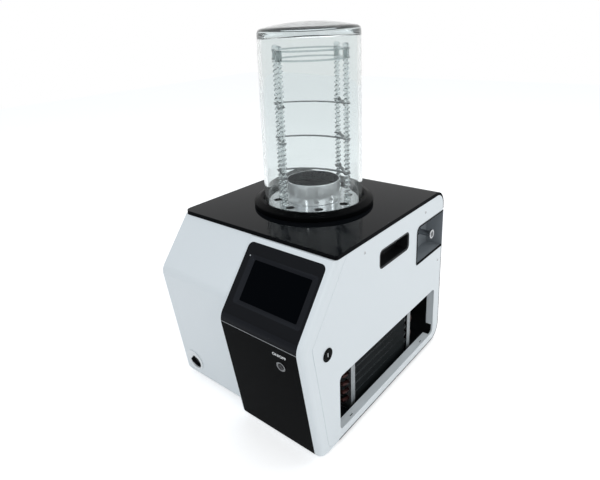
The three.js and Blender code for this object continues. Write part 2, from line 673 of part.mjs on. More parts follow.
function vacuumSpigot() {
	const { barrel, flange, bore, reach, flangeThick, tail } = SPIGOT;
	const floor = HALF - RECESS.depth + RECESS.wall;
	const profile = [
		[bore, floor - RECESS.wall - tail], [barrel, floor - RECESS.wall - tail], [barrel, floor + SEAT],
		[barrel + 3.5, floor + SEAT], [barrel + 3.5, floor + 4], [barrel, floor + 4],
		[barrel, reach - flangeThick - 2], [flange, reach - flangeThick], [flange, reach - 0.8], [flange - 0.8, reach],
		[bore + 2.5, reach], [bore + 2.5, reach - 3], [bore, reach - 3], [bore, floor - RECESS.wall - tail],
	];
	const geometry = lathe(profile, 18, 'X').translate(0, SPIGOT.y, SPIGOT.z);
	return piece('vacuum_spigot', geometry, FINISH.steel);
}

function dataPort() {
	const { y, z, flange, barrel, proud, depth, socket } = PORT;
	const profile = [[0, HALF - depth], [barrel, HALF - depth], [barrel, HALF + SEAT], [flange, HALF + SEAT],
		[flange, HALF + proud - 0.8], [flange - 0.8, HALF + proud], [0, HALF + proud]];
	const [wide, high, deep] = socket;
	const made = solid(lathe(profile, 24, 'X').translate(0, y, z))
		.subtract(solid(box(HALF + proud - deep, HALF + proud + 1, y - high / 2, y + high / 2, z - wide / 2, z + wide / 2)));
	return piece('data_port', geometryOf(made), FINISH.black);
}

// The window's liner: a flat frame behind the panel with four tabs bent inwards, which stop short of the
// corners. The lower tab has two small slots.
function windowLiner() {
	const { liner, linerWall, frame, relief, gap, slot, y0, y1, z0, z1 } = WINDOW;
	const to = HALF - BODY.skin - SEAT;
	const from = to - liner;
	const corner = (low, high, foot, head) => solid(box(from - 1, to - linerWall, low, high, foot, head));
	const reach = linerWall + 2;
	const slotHole = (y) => solid(box(to - slot.near - slot.width, to - slot.near, y - slot.length / 2, y + slot.length / 2,
		z0 - 6, z0 + 4));
	const made = solid(prism('X', windowOpening(linerWall + 1), from, to))
		.add(solid(prism('X', windowOpening(frame + 1), to - linerWall, to)))
		.subtract(solid(prism('X', windowOpening(1), from - 1, to + 1)))
		.subtract(corner(y0 - reach, y0 + relief, z0 - reach, z0 + relief))
		.subtract(corner(y0 - reach, y0 + relief, z1 - relief, z1 + reach))
		.subtract(corner(y1 - relief, y1 + reach, z1 - relief, z1 + reach))
		.subtract(corner(y1 - gap[0], y1 + reach, z0 - reach, z0 + gap[1]))
		.subtract(slotHole(y0 + slot.fromFront))
		.subtract(slotHole(y1 - slot.fromRear));
	return piece('window_liner', geometryOf(made), FINISH.white);
}

function screws() {
	const profile = [[0, -SCREW.length], [SCREW.shank, -SCREW.length], [SCREW.shank, SEAT], [SCREW.head, SEAT],
		[SCREW.head * 0.8, SCREW.headHigh], [0, SCREW.headHigh]];
	return [1, -1].flatMap((side) => SCREW.places.map(([y, z], i) => {
		const geometry = lathe(profile, 8, 'X');
		if (side < 0) geometry.rotateZ(Math.PI);
		geometry.translate(side * HALF, y, z);
		return piece(`panel_screw_${side > 0 ? 'right' : 'left'}_${i + 1}`, geometry, FINISH.steel);
	}));
}

// ---------------------------------------------------------------- top plate, rear sheet, feet

function topCover() {
	const { thick, rearTail, edge, cornerRadius, edgeRadius } = COVER;
	const innerRear = BODY.rear - BODY.skin;
	const profile = outline([
		[FRONT.topY, BODY_TOP], [FRONT.topY, PLATE_TOP, edge], [BODY.rear, PLATE_TOP, BODY.rearTopRadius + thick],
		[BODY.rear, rearTail], [innerRear, rearTail], [innerRear, BODY_TOP, BODY.rearTopRadius + SEAT],
	]);
	const plan = outline([
		[-HALF, FRONT.topY, cornerRadius], [HALF, FRONT.topY, edgeRadius], [HALF, BODY.rear + 1], [-HALF, BODY.rear + 1],
	]);
	const made = solid(prism('X', profile, -HALF, HALF, 4))
		.intersect(solid(prism('Z', plan, 0, PLATE_TOP + 1, 4)))
		.subtract(solid(new THREE.CylinderGeometry(HOLE_RADIUS, HOLE_RADIUS, 40, BELL.segments)
			.rotateX(Math.PI / 2).translate(0, BELL.y, PLATE_TOP)));
	return piece('top_cover', geometryOf(made), FINISH.gloss);
}

// One sheet under and behind: the base, a rounded bend and the rear wall.
function rearBaseWrap() {
	const { frontY, vents, ventRows, vent, ventPitch, ventX, ventZ } = WRAP;
	const t = BODY.skin;
	const rear = BODY.rear;
	const top = COVER.rearTail - SEAT;
	const outerR = BODY.rearFootRadius;
	const profile = outline([
		[frontY, 0], [rear, 0, outerR], [rear, top], [rear - t, top], [rear - t, t, outerR - t], [frontY, t],
	]);
	let made = solid(prism('X', profile, -HALF, HALF, 3))
		.subtract(solid(box(HALF - RECESS.depth - SEAT, HALF + 1, rear - 40, rear + 1, RECESS.z0, top + 1)))
		.subtract(solid(box(INLET.x - INLET.width / 2 - SEAT, INLET.x + INLET.width / 2 + SEAT, rear - 10, rear + 1,
			INLET.z - INLET.height / 2 - SEAT, INLET.z + INLET.height / 2 + SEAT)));
	for (let row = 0; row < ventRows; row++) {
		for (let k = 0; k < vents; k++) {
			const x = ventX + k * ventPitch;
			const z = ventZ + row * (vent[1] + 12);
			made = made.subtract(solid(box(x, x + vent[0], rear - 10, rear + 1, z, z + vent[1])));
		}
	}
	return piece('rear_base_wrap', geometryOf(made), FINISH.black);
}

function powerInlet() {
	const { x, z, width, height, flange, proud, depth, pin } = INLET;
	const rear = BODY.rear;
	const half = [width / 2, height / 2];
	const flangeShape = rectangle(z - half[1] - flange, z + half[1] + flange, x - half[0] - flange, x + half[0] + flange, 4);
	const well = rectangle(z - half[1] + 6, z + half[1] - 6, x - half[0] + 4, x + half[0] - 4, 3);
	let made = solid(box(x - half[0], x + half[0], rear - depth, rear + 1, z - half[1], z + half[1]))
		.add(solid(prism('Y', flangeShape, rear + SEAT, rear + proud)))
		.subtract(solid(prism('Y', well, rear - 18, rear + proud + 1)));
	for (const step of [-1, 0, 1]) {
		const px = x + (step ? 3 : -3);
		const pz = z + step * 8;
		made = made.add(solid(box(px - pin[0] / 2, px + pin[0] / 2, rear - 19, rear - 19 + pin[2],
			pz - pin[1] / 2, pz + pin[1] / 2)));
	}
	return piece('power_inlet', geometryOf(made), FINISH.black);
}

function feet() {
	const profile = [[0, -FOOT.height], [FOOT.toe, -FOOT.height], [FOOT.radius, -SEAT], [0, -SEAT]];
	const places = [[-1, FOOT.yFront], [1, FOOT.yFront], [-1, FOOT.yRear], [1, FOOT.yRear]];
	return places.map(([side, y], i) =>
		piece(`rubber_foot_${i + 1}`, lathe(profile, 18).translate(side * FOOT.x, y, 0), FINISH.rubber));
}

// ---------------------------------------------------------------- bell jar, seal ring, trap

const aboutBell = (geometry) => geometry.translate(0, BELL.y, PLATE_TOP);

function sealRing() {
	const { height } = RING;
	const radius = BELL.radius + RING.foot;
	const collar = BELL.radius + RING.collar;
	const groove = BELL.radius + RING.groove;
	const ledge = TRAP_RADIUS - RING.ledge;
	const spigot = HOLE_RADIUS - RING.spigotGap;
	const profile = [
		[ledge, -COVER.thick], [spigot, -COVER.thick], [spigot, SEAT], [radius - 1, SEAT], [radius, 6],
		[radius - 3, 9], [collar + 4, height - 4], [collar, height], [groove, height], [groove, BELL.seat - SEAT],
		[ledge, BELL.seat - SEAT], [ledge, -COVER.thick],
	];
	return piece('seal_ring', aboutBell(lathe(profile, BELL.segments)), FINISH.rubber);
}

// A domed top's profile, from the wall's upper end round the shoulder to the middle.
function domedTop(radius, height, dome, shoulder, steps) {
	const tilt = Math.asin((radius - shoulder) / (dome - shoulder));
	const turn = Math.PI / 2 - tilt;
	const centreZ = height - dome + (dome - shoulder) * Math.cos(tilt);
	const points = [];
	for (let k = 0; k <= steps; k++) {
		const a = (turn * k) / steps;
		points.push([radius - shoulder + shoulder * Math.cos(a), centreZ + shoulder * Math.sin(a)]);
	}
	for (let k = 1; k <= steps; k++) {
		const a = tilt * (1 - k / steps);
		points.push([dome * Math.sin(a), height - dome + dome * Math.cos(a)]);
	}
	return points;
}

function bellJar() {
	const { radius, taper, wall, height, dome, shoulder, seat, segments } = BELL;
	const topRadius = radius - taper;
	const profile = [
		[radius - wall, seat], [radius, seat],
		...domedTop(topRadius, height, dome, shoulder, 3),
		...domedTop(topRadius - wall, height - wall, dome, shoulder - 3, 2).reverse(),
		[radius - wall, seat],
	];
	return piece('bell_jar', aboutBell(lathe(profile, segments)), FINISH.acrylic);
}

const DISC_TOP = BELL.seat + DISC.thick;

function trapDisc() {
	const { thick, holes, holeRadius, pitchRadius, bellGap, landing } = DISC;
	const radius = BELL.radius - BELL.wall - bellGap;
	const centre = TUBE.radius - TUBE.wall - landing; // the tube stands on the disc's inner edge
	let made = solid(lathe(ringProfile(centre, radius, BELL.seat, BELL.seat + thick), BELL.segments));
	for (let k = 0; k < holes; k++) {
		const a = (TAU * k) / holes;
		const hole = new THREE.CylinderGeometry(holeRadius, holeRadius, 20, 10).rotateX(Math.PI / 2)
			.translate(pitchRadius * Math.cos(a), pitchRadius * Math.sin(a), BELL.seat);
		made = made.subtract(solid(hole));
	}
	return piece('trap_disc', aboutBell(geometryOf(made)), FINISH.steel);
}

function guideTube() {
	const { radius, wall, height, lip } = TUBE;
	const z0 = DISC_TOP + SEAT;
	const z1 = DISC_TOP + height;
	const profile = [[radius - wall, z0], [radius, z0], [radius, z1 - lip], [radius + 0.8, z1], [radius - wall, z1],
		[radius - wall, z0]];
	return piece('guide_tube', aboutBell(lathe(profile, 28)), FINISH.steel);
}

function coldTrap() {
	const { wall, depth, flangeThick, dish } = TRAP;
	const radius = TRAP_RADIUS;
	const flange = radius + TRAP.flange;
	const top = -COVER.thick - SEAT;
	const base = top - depth;
	const profile = [
		[7, base - dish - 14], [10, base - dish - 14], [10, base - dish - wall], [radius * 0.6, base - dish * 0.7 - wall],
		[radius - 6, base - wall], [radius + wall, base + 8], [radius + wall, top - flangeThick],
		[flange, top - flangeThick], [flange, top], [radius, top], [radius, base + 9], [radius - 7, base],
		[radius * 0.6, base - dish * 0.7], [7, base - dish], [7, base - dish - 14],
	];
	return piece('cold_trap', aboutBell(lathe(profile, 26)), FINISH.steel);
}

const TRAP_TOP = -COVER.thick - SEAT - TRAP.flangeThick;
const JACKET_BASE = TRAP_TOP - TRAP.depth - JACKET.base;

function trapJacket() {
	const core = TRAP_RADIUS + JACKET.gap;
	const radius = core + JACKET.wall;
	const made = solid(lathe([
		[16, JACKET_BASE], [radius, JACKET_BASE], [radius, TRAP_TOP - SEAT], [core, TRAP_TOP - SEAT],
		[core, JACKET_BASE + 22], [60, JACKET_BASE + 5], [16, JACKET_BASE + 5], [16, JACKET_BASE],
	], 28)).subtract(solid(prism('Y', circle(SPIGOT.z - PLATE_TOP, VACUUM.x, VACUUM.radius + SEAT), 60, radius + 5)));
	return piece('trap_jacket', aboutBell(geometryOf(made)), FINISH.foam);
}

function evaporatorCoil() {
	const { pipe: bore, turns, pitch, drop, steps } = COIL;
	const radius = (TRAP_RADIUS + TRAP.wall + bore + SEAT) / Math.cos(Math.PI / steps);
	const points = [];
	for (let k = 0; k <= turns * steps; k++) {
		const a = (TAU * k) / steps + 0.9;
		points.push([radius * Math.cos(a), radius * Math.sin(a), TRAP_TOP - drop - (pitch * k) / steps]);
	}
	return piece('evaporator_coil', aboutBell(pipe(new PointRun(points), bore, 5)), FINISH.copper);
}

// ---------------------------------------------------------------- sample rack

const DEG = Math.PI / 180;
const postAngles = [
	RACK.turn - RACK.spread, RACK.turn + RACK.spread, RACK.turn + 180 - RACK.spread, RACK.turn + 180 + RACK.spread,
].map((a) => a * DEG);
const RACK_RADIUS = TUBE.radius + RACK.clear;
const postPlaces = postAngles.map((a) => [RACK_RADIUS * Math.cos(a), RACK_RADIUS * Math.sin(a)]);

// Posts are turned in one piece: a foot, sleeves between the shelves, and a thin neck through each shelf.
function rackPosts() {
	const { post, sleeve, foot, footHigh, shelves, shelfThick, top, topThick, topRise, knob } = RACK;
	const floor = DISC_TOP + SEAT;
	const levels = [...shelves.map((z) => [z, shelfThick]), [top, topRise + topThick]];
	const crest = top + topRise + topThick + knob;
	const profile = [[0, floor], [foot, floor], [foot, floor + footHigh], [sleeve, floor + footHigh + 2]];
	for (const [z, thick] of levels) {
		profile.push([sleeve, z - SEAT], [post, z - SEAT], [post, z + thick + SEAT], [sleeve, z + thick + SEAT]);
	}
	profile.push([sleeve + 1.5, crest - 7], [sleeve + 1, crest - 2], [sleeve - 2, crest], [0, crest]);
	return postPlaces.map(([x, y], i) =>
		piece(`rack_post_${i + 1}`, aboutBell(lathe(profile, 8).translate(x, y, 0)), FINISH.acrylic));
}

// A bar of a given width between two places in plan.
function bar([x0, y0], [x1, y1], width, z0, z1) {
	const length = Math.hypot(x1 - x0, y1 - y0);
	return new THREE.BoxGeometry(length, width, z1 - z0)
		.rotateZ(Math.atan2(y1 - y0, x1 - x0))
		.translate((x0 + x1) / 2, (y0 + y1) / 2, (z0 + z1) / 2);
}

// A flat band along an arc about a centre in plan.
function arcBand([cx, cy], radius, a0, a1, z0, z1) {
	const arc = new THREE.Shape();
	arc.absarc(cx, cy, radius + RACK.band / 2, a0, a1, false);
	arc.absarc(cx, cy, radius - RACK.band / 2, a1, a0, true);
	return solid(prism('Z', arc, z0, z1, 3));
}

// A shelf's cross bar: an arc from the first post to the third, which face each other across the rack.
function crossBar(z0, z1) {
	const radius = (RACK_RADIUS ** 2 + RACK.bow ** 2) / (2 * RACK.bow);
	const rearward = postAngles[0] + Math.PI / 2;
	const half = Math.asin(RACK_RADIUS / radius);
	const centre = [-(radius - RACK.bow) * Math.cos(rearward), -(radius - RACK.bow) * Math.sin(rearward)];
	return arcBand(centre, radius, rearward - half, rearward + half, z0, z1);
}

// A level of the rack: an ear round each post and a bar between the posts of each pair.
function pairBars(z, thick) {
	const [rightFront, rightRear, leftRear, leftFront] = postPlaces;
	let made = solid(bar(rightFront, rightRear, RACK.band, z, z + thick))
		.add(solid(bar(leftRear, leftFront, RACK.band, z, z + thick)));
	for (const [x, y] of postPlaces) {
		made = made.add(solid(lathe(discProfile(RACK.ear, z, z + thick), 10).translate(x, y, 0)));
	}
	return made;
}

const withoutPosts = (made, z0, z1) => postPlaces.reduce((left, [x, y]) =>
	left.subtract(solid(lathe(discProfile(RACK.post + SEAT, z0 - 5, z1 + 5), 8).translate(x, y, 0))), made);

// A shelf joins the two pairs with a cross bar.
function shelf(z, i) {
	const made = pairBars(z, RACK.shelfThick).add(crossBar(z, z + RACK.shelfThick));
	return piece(`rack_shelf_${i + 1}`, aboutBell(geometryOf(withoutPosts(made, z, z))), FINISH.steel);
}

// The rack's head: a lower and an upper ring through all four posts, held apart by a sleeve round each.
function rackHead() {
	const { top, topThick, topRise } = RACK;
	const ring = (z) => pairBars(z, topThick)
		.add(arcBand([0, 0], RACK_RADIUS, postAngles[1], postAngles[2], z, z + topThick))
		.add(arcBand([0, 0], RACK_RADIUS, postAngles[3], postAngles[0] + TAU, z, z + topThick));
	let made = ring(top).add(ring(top + topRise));
	for (const [x, y] of postPlaces) {
		made = made.add(solid(lathe(discProfile(RACK.sleeve + 1, top, top + topRise + 1), 10).translate(x, y, 0)));
	}
	made = withoutPosts(made, top, top + topRise + topThick);
	return piece('rack_top_ring', aboutBell(geometryOf(made)), FINISH.acrylic);
}

function rack() {
	return [
		...rackPosts(),
		...RACK.shelves.map(shelf),
		rackHead(),
	];
}

// ---------------------------------------------------------------- refrigeration

const CONDENSER_FOOT = BODY.skin + SEAT;
const CONDENSER_MIDDLE = {
	y: (CONDENSER.y0 + CONDENSER.y1) / 2,
	z: (CONDENSER_FOOT + CONDENSER.z1) / 2,
};
const levels = Array.from({ length: CONDENSER.levels }, (_, i) => CONDENSER.firstZ + i * CONDENSER.pitch);

// An end plate folded to an L, with a hole for every pass of the tube.
function condenserPlate(name, webY, flangeTowards) {
	const { x0, x1, z1, plate, flange, tube, rowX } = CONDENSER;
	const web = flangeTowards > 0 ? [webY, webY + plate] : [webY - plate, webY];
	const fold = flangeTowards > 0 ? [webY, webY + flange] : [webY - flange, webY];
	let made = solid(box(x0, x1, ...web, CONDENSER_FOOT, z1)).add(solid(box(x1 - plate, x1, ...fold, CONDENSER_FOOT, z1)));
	for (const z of levels) {
		for (const x of rowX) {
			made = made.subtract(solid(prism('Y', circle(z, x, tube + SEAT, 6), webY - 5, webY + 5)));
		}
	}
	return piece(name, geometryOf(made), FINISH.zinc);
}

// The fin pack: plates square to the tube on a common spine, slotted at every level of the tube.
function condenserFins() {
	const { x0, x1, y0, y1, z1, flange, finPitch, fin, spine, tube, rowX, plate } = CONDENSER;
	const from = y0 + flange + 1;
	const to = y1 - flange - 1;
	const count = Math.floor((to - from - fin) / finPitch) + 1;
	const start = (from + to - (count - 1) * finPitch - fin) / 2;
	const face = x1 - plate - 1;
	const shape = new THREE.Shape();
	shape.moveTo(x0, start);
	for (let k = 0; k < count; k++) {
		const y = start + k * finPitch;
		if (k) shape.lineTo(x0 + spine, y);
		shape.lineTo(face, y);
		shape.lineTo(face, y + fin);
		if (k < count - 1) shape.lineTo(x0 + spine, y + fin);
	}
	shape.lineTo(x0, start + (count - 1) * finPitch + fin);
	shape.closePath();
	let made = solid(prism('Z', shape, CONDENSER_FOOT, z1));
	for (const z of levels) {
		made = made.subtract(solid(box(rowX[0] - tube - SEAT, x1 + 1, y0, y1, z - tube - SEAT, z + tube + SEAT)));
	}
	return piece('condenser_fins', geometryOf(made), FINISH.zinc);
}

// The serpentine: level hairpins at the front join the two rows, and bends at the rear climb a level.
function condenserTube() {
	const { y0, y1, tube, rowX, pitch, stub } = CONDENSER;
	const bend = pitch / 2 - 0.01;
	const front = y0 - stub - (rowX[1] - rowX[0]) / 2;
	const rear = y1 + stub + pitch / 2;
	const corners = [];
	levels.forEach((z, i) => {
		const [into, back] = i % 2 ? [rowX[1], rowX[0]] : rowX;
		corners.push([into, rear, z], [into, front, z], [back, front, z], [back, rear, z]);
	});
	return piece('condenser_tube', pipe(new PipeRun(corners, bend, 2), tube, 6), FINISH.copper);
}

function fanShroud() {
	const { y0, y1, z1 } = CONDENSER;
	const { shroudX, collar, collarDeep } = FAN;
	const { y, z } = CONDENSER_MIDDLE;
	const face = CONDENSER.x0 - SEAT;
	const made = solid(box(shroudX, face, y0, y1, CONDENSER_FOOT, z1))
		.add(solid(lathe(ringProfile(collar, collar + 2, shroudX - collarDeep, face - 0.5), 28, 'X').translate(0, y, z)))
		.subtract(solid(lathe(discProfile(collar + 0.01, shroudX - 40, face + 5), 28, 'X').translate(0, y, z)));
	return piece('fan_shroud', geometryOf(made), FINISH.black);
}

function fanBlade() {
	const { x, radius, hub, depth, blades } = FAN;
	const outlineOfBlade = outline([[hub - 3, -9], [radius, -20, 6], [radius, 20, 10], [hub - 3, 8]]);
	let made = solid(lathe(ringProfile(MOTOR.shaft + SEAT, hub, -depth / 2, depth / 2), 16));
	for (let k = 0; k < blades; k++) {
		const blade = new THREE.ExtrudeGeometry(outlineOfBlade, { depth: 1.4, bevelEnabled: false, curveSegments: 2 })
			.translate(0, 0, -0.7).rotateX(24 * DEG).rotateZ((TAU * k) / blades);
		made = made.add(solid(blade));
	}
	const bore = solid(lathe(discProfile(MOTOR.shaft + SEAT, -30, 30), 12));
	const geometry = turned(geometryOf(made.subtract(bore)), 'X');
	return piece('fan_blade', geometry.translate(x, CONDENSER_MIDDLE.y, CONDENSER_MIDDLE.z), FINISH.grey);
}

// The motor with its shaft, and the three arms that carry it on the shroud's collar.
function fanMotor() {
	const { radius, length, shaft, arms } = MOTOR;
	const front = FAN.x - FAN.depth / 2 - 4;
	const back = front - length;
	const profile = [[0, back], [radius - 6, back], [radius, back + 6], [radius, front - 4], [radius - 8, front],
		[shaft, front], [shaft, FAN.x + FAN.depth / 2 + 2], [0, FAN.x + FAN.depth / 2 + 2]];
	let made = solid(lathe(profile, 16, 'X'));
	const reach = FAN.collar + 8;
	const foot = FAN.shroudX - SEAT;
	for (let k = 0; k < arms; k++) {
		const arm = solid(box(front - 16, front - 12, radius - 4, reach, -8, 8))
			.add(solid(box(front - 16, foot, reach - 4, reach, -8, 8)));
		made = made.add(arm.rotate([(360 * k) / arms + 30, 0, 0]));
	}
	const { y, z } = CONDENSER_MIDDLE;
	return piece('fan_motor', geometryOf(made).translate(0, y, z), FINISH.black);
}

const COMPRESSOR_FLOOR = BODY.skin + SEAT;

function compressor() {
	const { radius, height, plate, x, y } = COMPRESSOR;
	const [long, wide, thick] = plate;
	const base = COMPRESSOR_FLOOR + 14;
	const profile = [[0, base + thick - 1], [radius - 14, base + thick - 1], [radius, base + 20], [radius, base + height * 0.5],
		[radius + 3, base + height * 0.5], [radius + 3, base + height * 0.5 + 5], [radius, base + height * 0.5 + 5],
		[radius, base + height - 38], [radius * 0.86, base + height - 16], [radius * 0.5, base + height - 3], [0, base + height]];
	let made = solid(lathe(profile, COMPRESSOR.sides)).add(solid(prism('Z', rectangle(-long / 2, long / 2, -wide / 2, wide / 2, 20),
		base, base + thick)));
	for (const side of [-1, 1]) {
		for (const end of [-1, 1]) {
			const grommet = lathe([[0, COMPRESSOR_FLOOR], [11, COMPRESSOR_FLOOR], [9, base + 1], [0, base + 1]], 10);
			made = made.add(solid(grommet.translate(side * (long / 2 - 16), end * (wide / 2 - 16), 0)));
		}
	}
	return piece('compressor', geometryOf(made).translate(x, y, 0), FINISH.black);
}

function filterDrier() {
	const { x, y, z, radius, length } = DRIER;
	const profile = [[0, -length / 2], [4, -length / 2], [radius, -length / 2 + 10], [radius, length / 2 - 10],
		[4, length / 2], [0, length / 2]];
	return piece('filter_drier', lathe(profile, 10, 'X').translate(x, y, z), FINISH.brass);
}

// Pipes: compressor to condenser, condenser through the drier to the coil, coil back to the compressor.
const LINE = { bore: 3.2, suction: 4.7, capillary: 2, bend: 14, rearY: 236, lowX: 72 };

function refrigerantLines() {
	const { bore, suction, capillary, bend, rearY, lowX } = LINE;
	const { rowX, y1, stub, pitch } = CONDENSER;
	const tubeEnd = y1 + stub + pitch / 2 + SEAT;
	const wall = COMPRESSOR.radius * Math.cos(Math.PI / COMPRESSOR.sides) + SEAT;
	const can = { x: COMPRESSOR.x + wall, y: COMPRESSOR.y - wall };
	const top = levels[levels.length - 1];
	const [low] = levels;
	const coilEnd = PLATE_TOP + JACKET_BASE - SEAT;
	const runs = {
		discharge_line: [bore, [[can.x, COMPRESSOR.y, 130], [40, COMPRESSOR.y, 130], [40, rearY, 130], [40, rearY, top],
			[rowX[0], rearY, top], [rowX[0], tubeEnd, top]]],
		liquid_line: [bore, [[rowX[0], tubeEnd, low], [rowX[0], rearY - 12, low], [lowX, rearY - 12, low],
			[lowX, DRIER.y, low], [lowX, DRIER.y, DRIER.z], [DRIER.x + DRIER.length / 2 + SEAT, DRIER.y, DRIER.z]]],
		capillary_line: [capillary, [[DRIER.x - DRIER.length / 2 - SEAT, DRIER.y, DRIER.z], [-60, DRIER.y, DRIER.z],
			[-60, DRIER.y, 200], [-14, BELL.y - 60, 200], [-14, BELL.y - 60, coilEnd]]],
		suction_line: [suction, [[COMPRESSOR.x, can.y, 130], [COMPRESSOR.x, -20, 130], [COMPRESSOR.x, -20, coilEnd]]],
	};
	return Object.entries(runs).map(([name, [radius, corners]]) =>
		piece(name, pipe(new PipeRun(corners, bend * (radius > capillary ? 1 : 0.6), 3), radius, 6), FINISH.copper));
}

const VACUUM = { x: 60, radius: 7 };

// The vacuum pipe, from the spigot's tail to the side of the trap.
function vacuumPipe() {
	const tail = HALF - RECESS.depth - SPIGOT.tail - SEAT;
	const wallY = BELL.y + Math.sqrt((TRAP_RADIUS + TRAP.wall) ** 2 - (VACUUM.x - VACUUM.radius) ** 2);
	const run = [[tail, SPIGOT.y, SPIGOT.z], [VACUUM.x, SPIGOT.y, SPIGOT.z], [VACUUM.x, wallY + SEAT, SPIGOT.z]];
	return piece('vacuum_pipe', pipe(new PipeRun(run, 20), VACUUM.radius, 10), FINISH.rubber);
}

// The drain hose, from the trap's bottom outlet to the back of the drain valve.
function drainHose() {
	const outlet = PLATE_TOP - COVER.thick - SEAT - TRAP.depth - TRAP.dish - 14 - SEAT;
	const frame = onPlainLower(DRAIN.x, DRAIN.z);
	const behind = (depth) => new THREE.Vector3(0, 0, -depth).applyMatrix4(frame).toArray();
	const valveBack = behind(DRAIN.depth + 16 + 2 * SEAT);
	const clear = behind(DRAIN.depth + 48);
	const run = [[0, BELL.y, outlet], [0, BELL.y, 200], [0, clear[1], 200], [DRAIN.x, clear[1], 200], clear, valveBack];
	return piece('drain_hose', pipe(new PipeRun(run, 14, 3), DRAIN.hose, 8), FINISH.plastic);
}

// ---------------------------------------------------------------- the whole machine

const noseFront = Math.min(...frontRing(DESK, 0).map(([y]) => y));
const rearFront = BODY.rear + INLET.proud;

const dryer = new THREE.Group();
dryer.add(
	frontShell(), rightPanel(), leftPanel(), topCover(), rearBaseWrap(),
	upperBezel(), lowerPanel(), touchScreen(), statusLamp(), ...powerButton(), ...drain(),
	handleCup('handle_cup_right', 1), handleCup('handle_cup_left', -1),
	portRecess(), vacuumSpigot(), vacuumPipe(), dataPort(), windowLiner(), ...screws(),
	powerInlet(), ...feet(),
	sealRing(), bellJar(), trapDisc(), guideTube(), coldTrap(), trapJacket(), evaporatorCoil(), ...rack(),
	condenserPlate('condenser_plate_front', CONDENSER.y0, 1), condenserPlate('condenser_plate_rear', CONDENSER.y1, -1),
	condenserFins(), condenserTube(), fanShroud(), fanBlade(), fanMotor(),
	compressor(), filterDrier(), ...refrigerantLines(), drainHose(),
);
dryer.position.set(0, -(noseFront + rearFront) / 2, FOOT.height);

export default dryer;
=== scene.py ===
import json
import math

import bmesh
import bpy
import numpy as np
from mathutils import Matrix, Vector


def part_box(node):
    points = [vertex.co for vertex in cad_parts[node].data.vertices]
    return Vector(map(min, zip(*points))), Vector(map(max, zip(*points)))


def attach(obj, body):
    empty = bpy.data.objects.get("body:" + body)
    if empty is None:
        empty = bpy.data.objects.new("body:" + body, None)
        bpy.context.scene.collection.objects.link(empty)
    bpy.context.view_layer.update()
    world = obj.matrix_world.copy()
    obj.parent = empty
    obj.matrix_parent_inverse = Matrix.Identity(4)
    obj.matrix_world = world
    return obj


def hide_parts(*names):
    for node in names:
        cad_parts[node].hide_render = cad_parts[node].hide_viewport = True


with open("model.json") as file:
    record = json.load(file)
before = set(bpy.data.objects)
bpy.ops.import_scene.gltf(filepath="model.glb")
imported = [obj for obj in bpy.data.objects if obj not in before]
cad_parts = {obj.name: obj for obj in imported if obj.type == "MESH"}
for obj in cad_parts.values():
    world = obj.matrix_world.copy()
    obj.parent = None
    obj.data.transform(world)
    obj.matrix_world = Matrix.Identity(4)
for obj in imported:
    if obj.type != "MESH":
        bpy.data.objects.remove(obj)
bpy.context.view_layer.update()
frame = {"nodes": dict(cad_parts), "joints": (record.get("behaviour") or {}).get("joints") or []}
scene = bpy.context.scene
MM = 0.001

# ---------------------------------------------------------------- camera
# Stands at the machine's right front, as high as the top of the bell jar, looking down on the console
# through a 30 mm lens with a small shift.
YAW, PITCH, ROLL = 0.7179, 0.3023, 0.0478
CAMERA_PLACE = (0.72408, -0.89361, 0.86331)
SENSOR_WIDTH, FOCAL_LENGTH, LENS_SHIFT = 36.0, 30.356, (0.025, -0.1)
forward = Vector((-math.sin(YAW) * math.cos(PITCH), math.cos(YAW) * math.cos(PITCH), -math.sin(PITCH)))
level_right = Vector((math.cos(YAW), math.sin(YAW), 0.0))
level_down = forward.cross(level_right)
right = math.cos(ROLL) * level_right + math.sin(ROLL) * level_down
down = -math.sin(ROLL) * level_right + math.cos(ROLL) * level_down
camera_data = bpy.data.cameras.new("camera")
camera_data.sensor_width = SENSOR_WIDTH
camera_data.lens = FOCAL_LENGTH
camera_data.shift_x, camera_data.shift_y = LENS_SHIFT
camera = bpy.data.objects.new("camera", camera_data)
scene.collection.objects.link(camera)
camera.matrix_world = Matrix.Translation(CAMERA_PLACE) @ Matrix(
    (right, -down, -forward)).transposed().to_4x4()
scene.camera = camera

# ---------------------------------------------------------------- studio
# White floor and white surroundings, lit by large soft lamps: a key over the front left, a fill at the
# right, one overhead, and two upright strips that draw bright streaks on the turned metal. Only the camera,
# mirrors and clear parts see the surroundings at full white.


def linear(code):
    """An sRGB hex value as linear RGBA: v / 12.92 below 0.04045, else ((v + 0.055) / 1.055) ** 2.4."""
    v = np.array([int(code[i:i + 2], 16) for i in (0, 2, 4)]) / 255
    v = np.where(v <= 0.04045, v / 12.92, ((v + 0.055) / 1.055) ** 2.4)
    return (*v.tolist(), 1.0)


def add(tree, kind, inputs=None, **settings):
    """Adds a node: settings are its own properties, inputs maps a socket's name or number to a value, or to
    another node's output, which is linked."""
    made = tree.nodes.new(kind)
    for key, value in settings.items():
        setattr(made, key, value)
    for key, value in (inputs or {}).items():
        if isinstance(value, bpy.types.NodeSocket):
            tree.links.new(value, made.inputs[key])
        else:
            made.inputs[key].default_value = value
    return made


def seen_directly(tree):
    """A factor that is 1 for camera, glossy and transmission rays, and 0 for light that falls on the object."""
    rays = add(tree, "ShaderNodeLightPath")
    first = add(tree, "ShaderNodeMath", {0: rays.outputs["Is Camera Ray"], 1: rays.outputs["Is Glossy Ray"]},
                operation="MAXIMUM")
    return add(tree, "ShaderNodeMath", {0: first.outputs[0], 1: rays.outputs["Is Transmission Ray"]},
               operation="MAXIMUM").outputs[0]


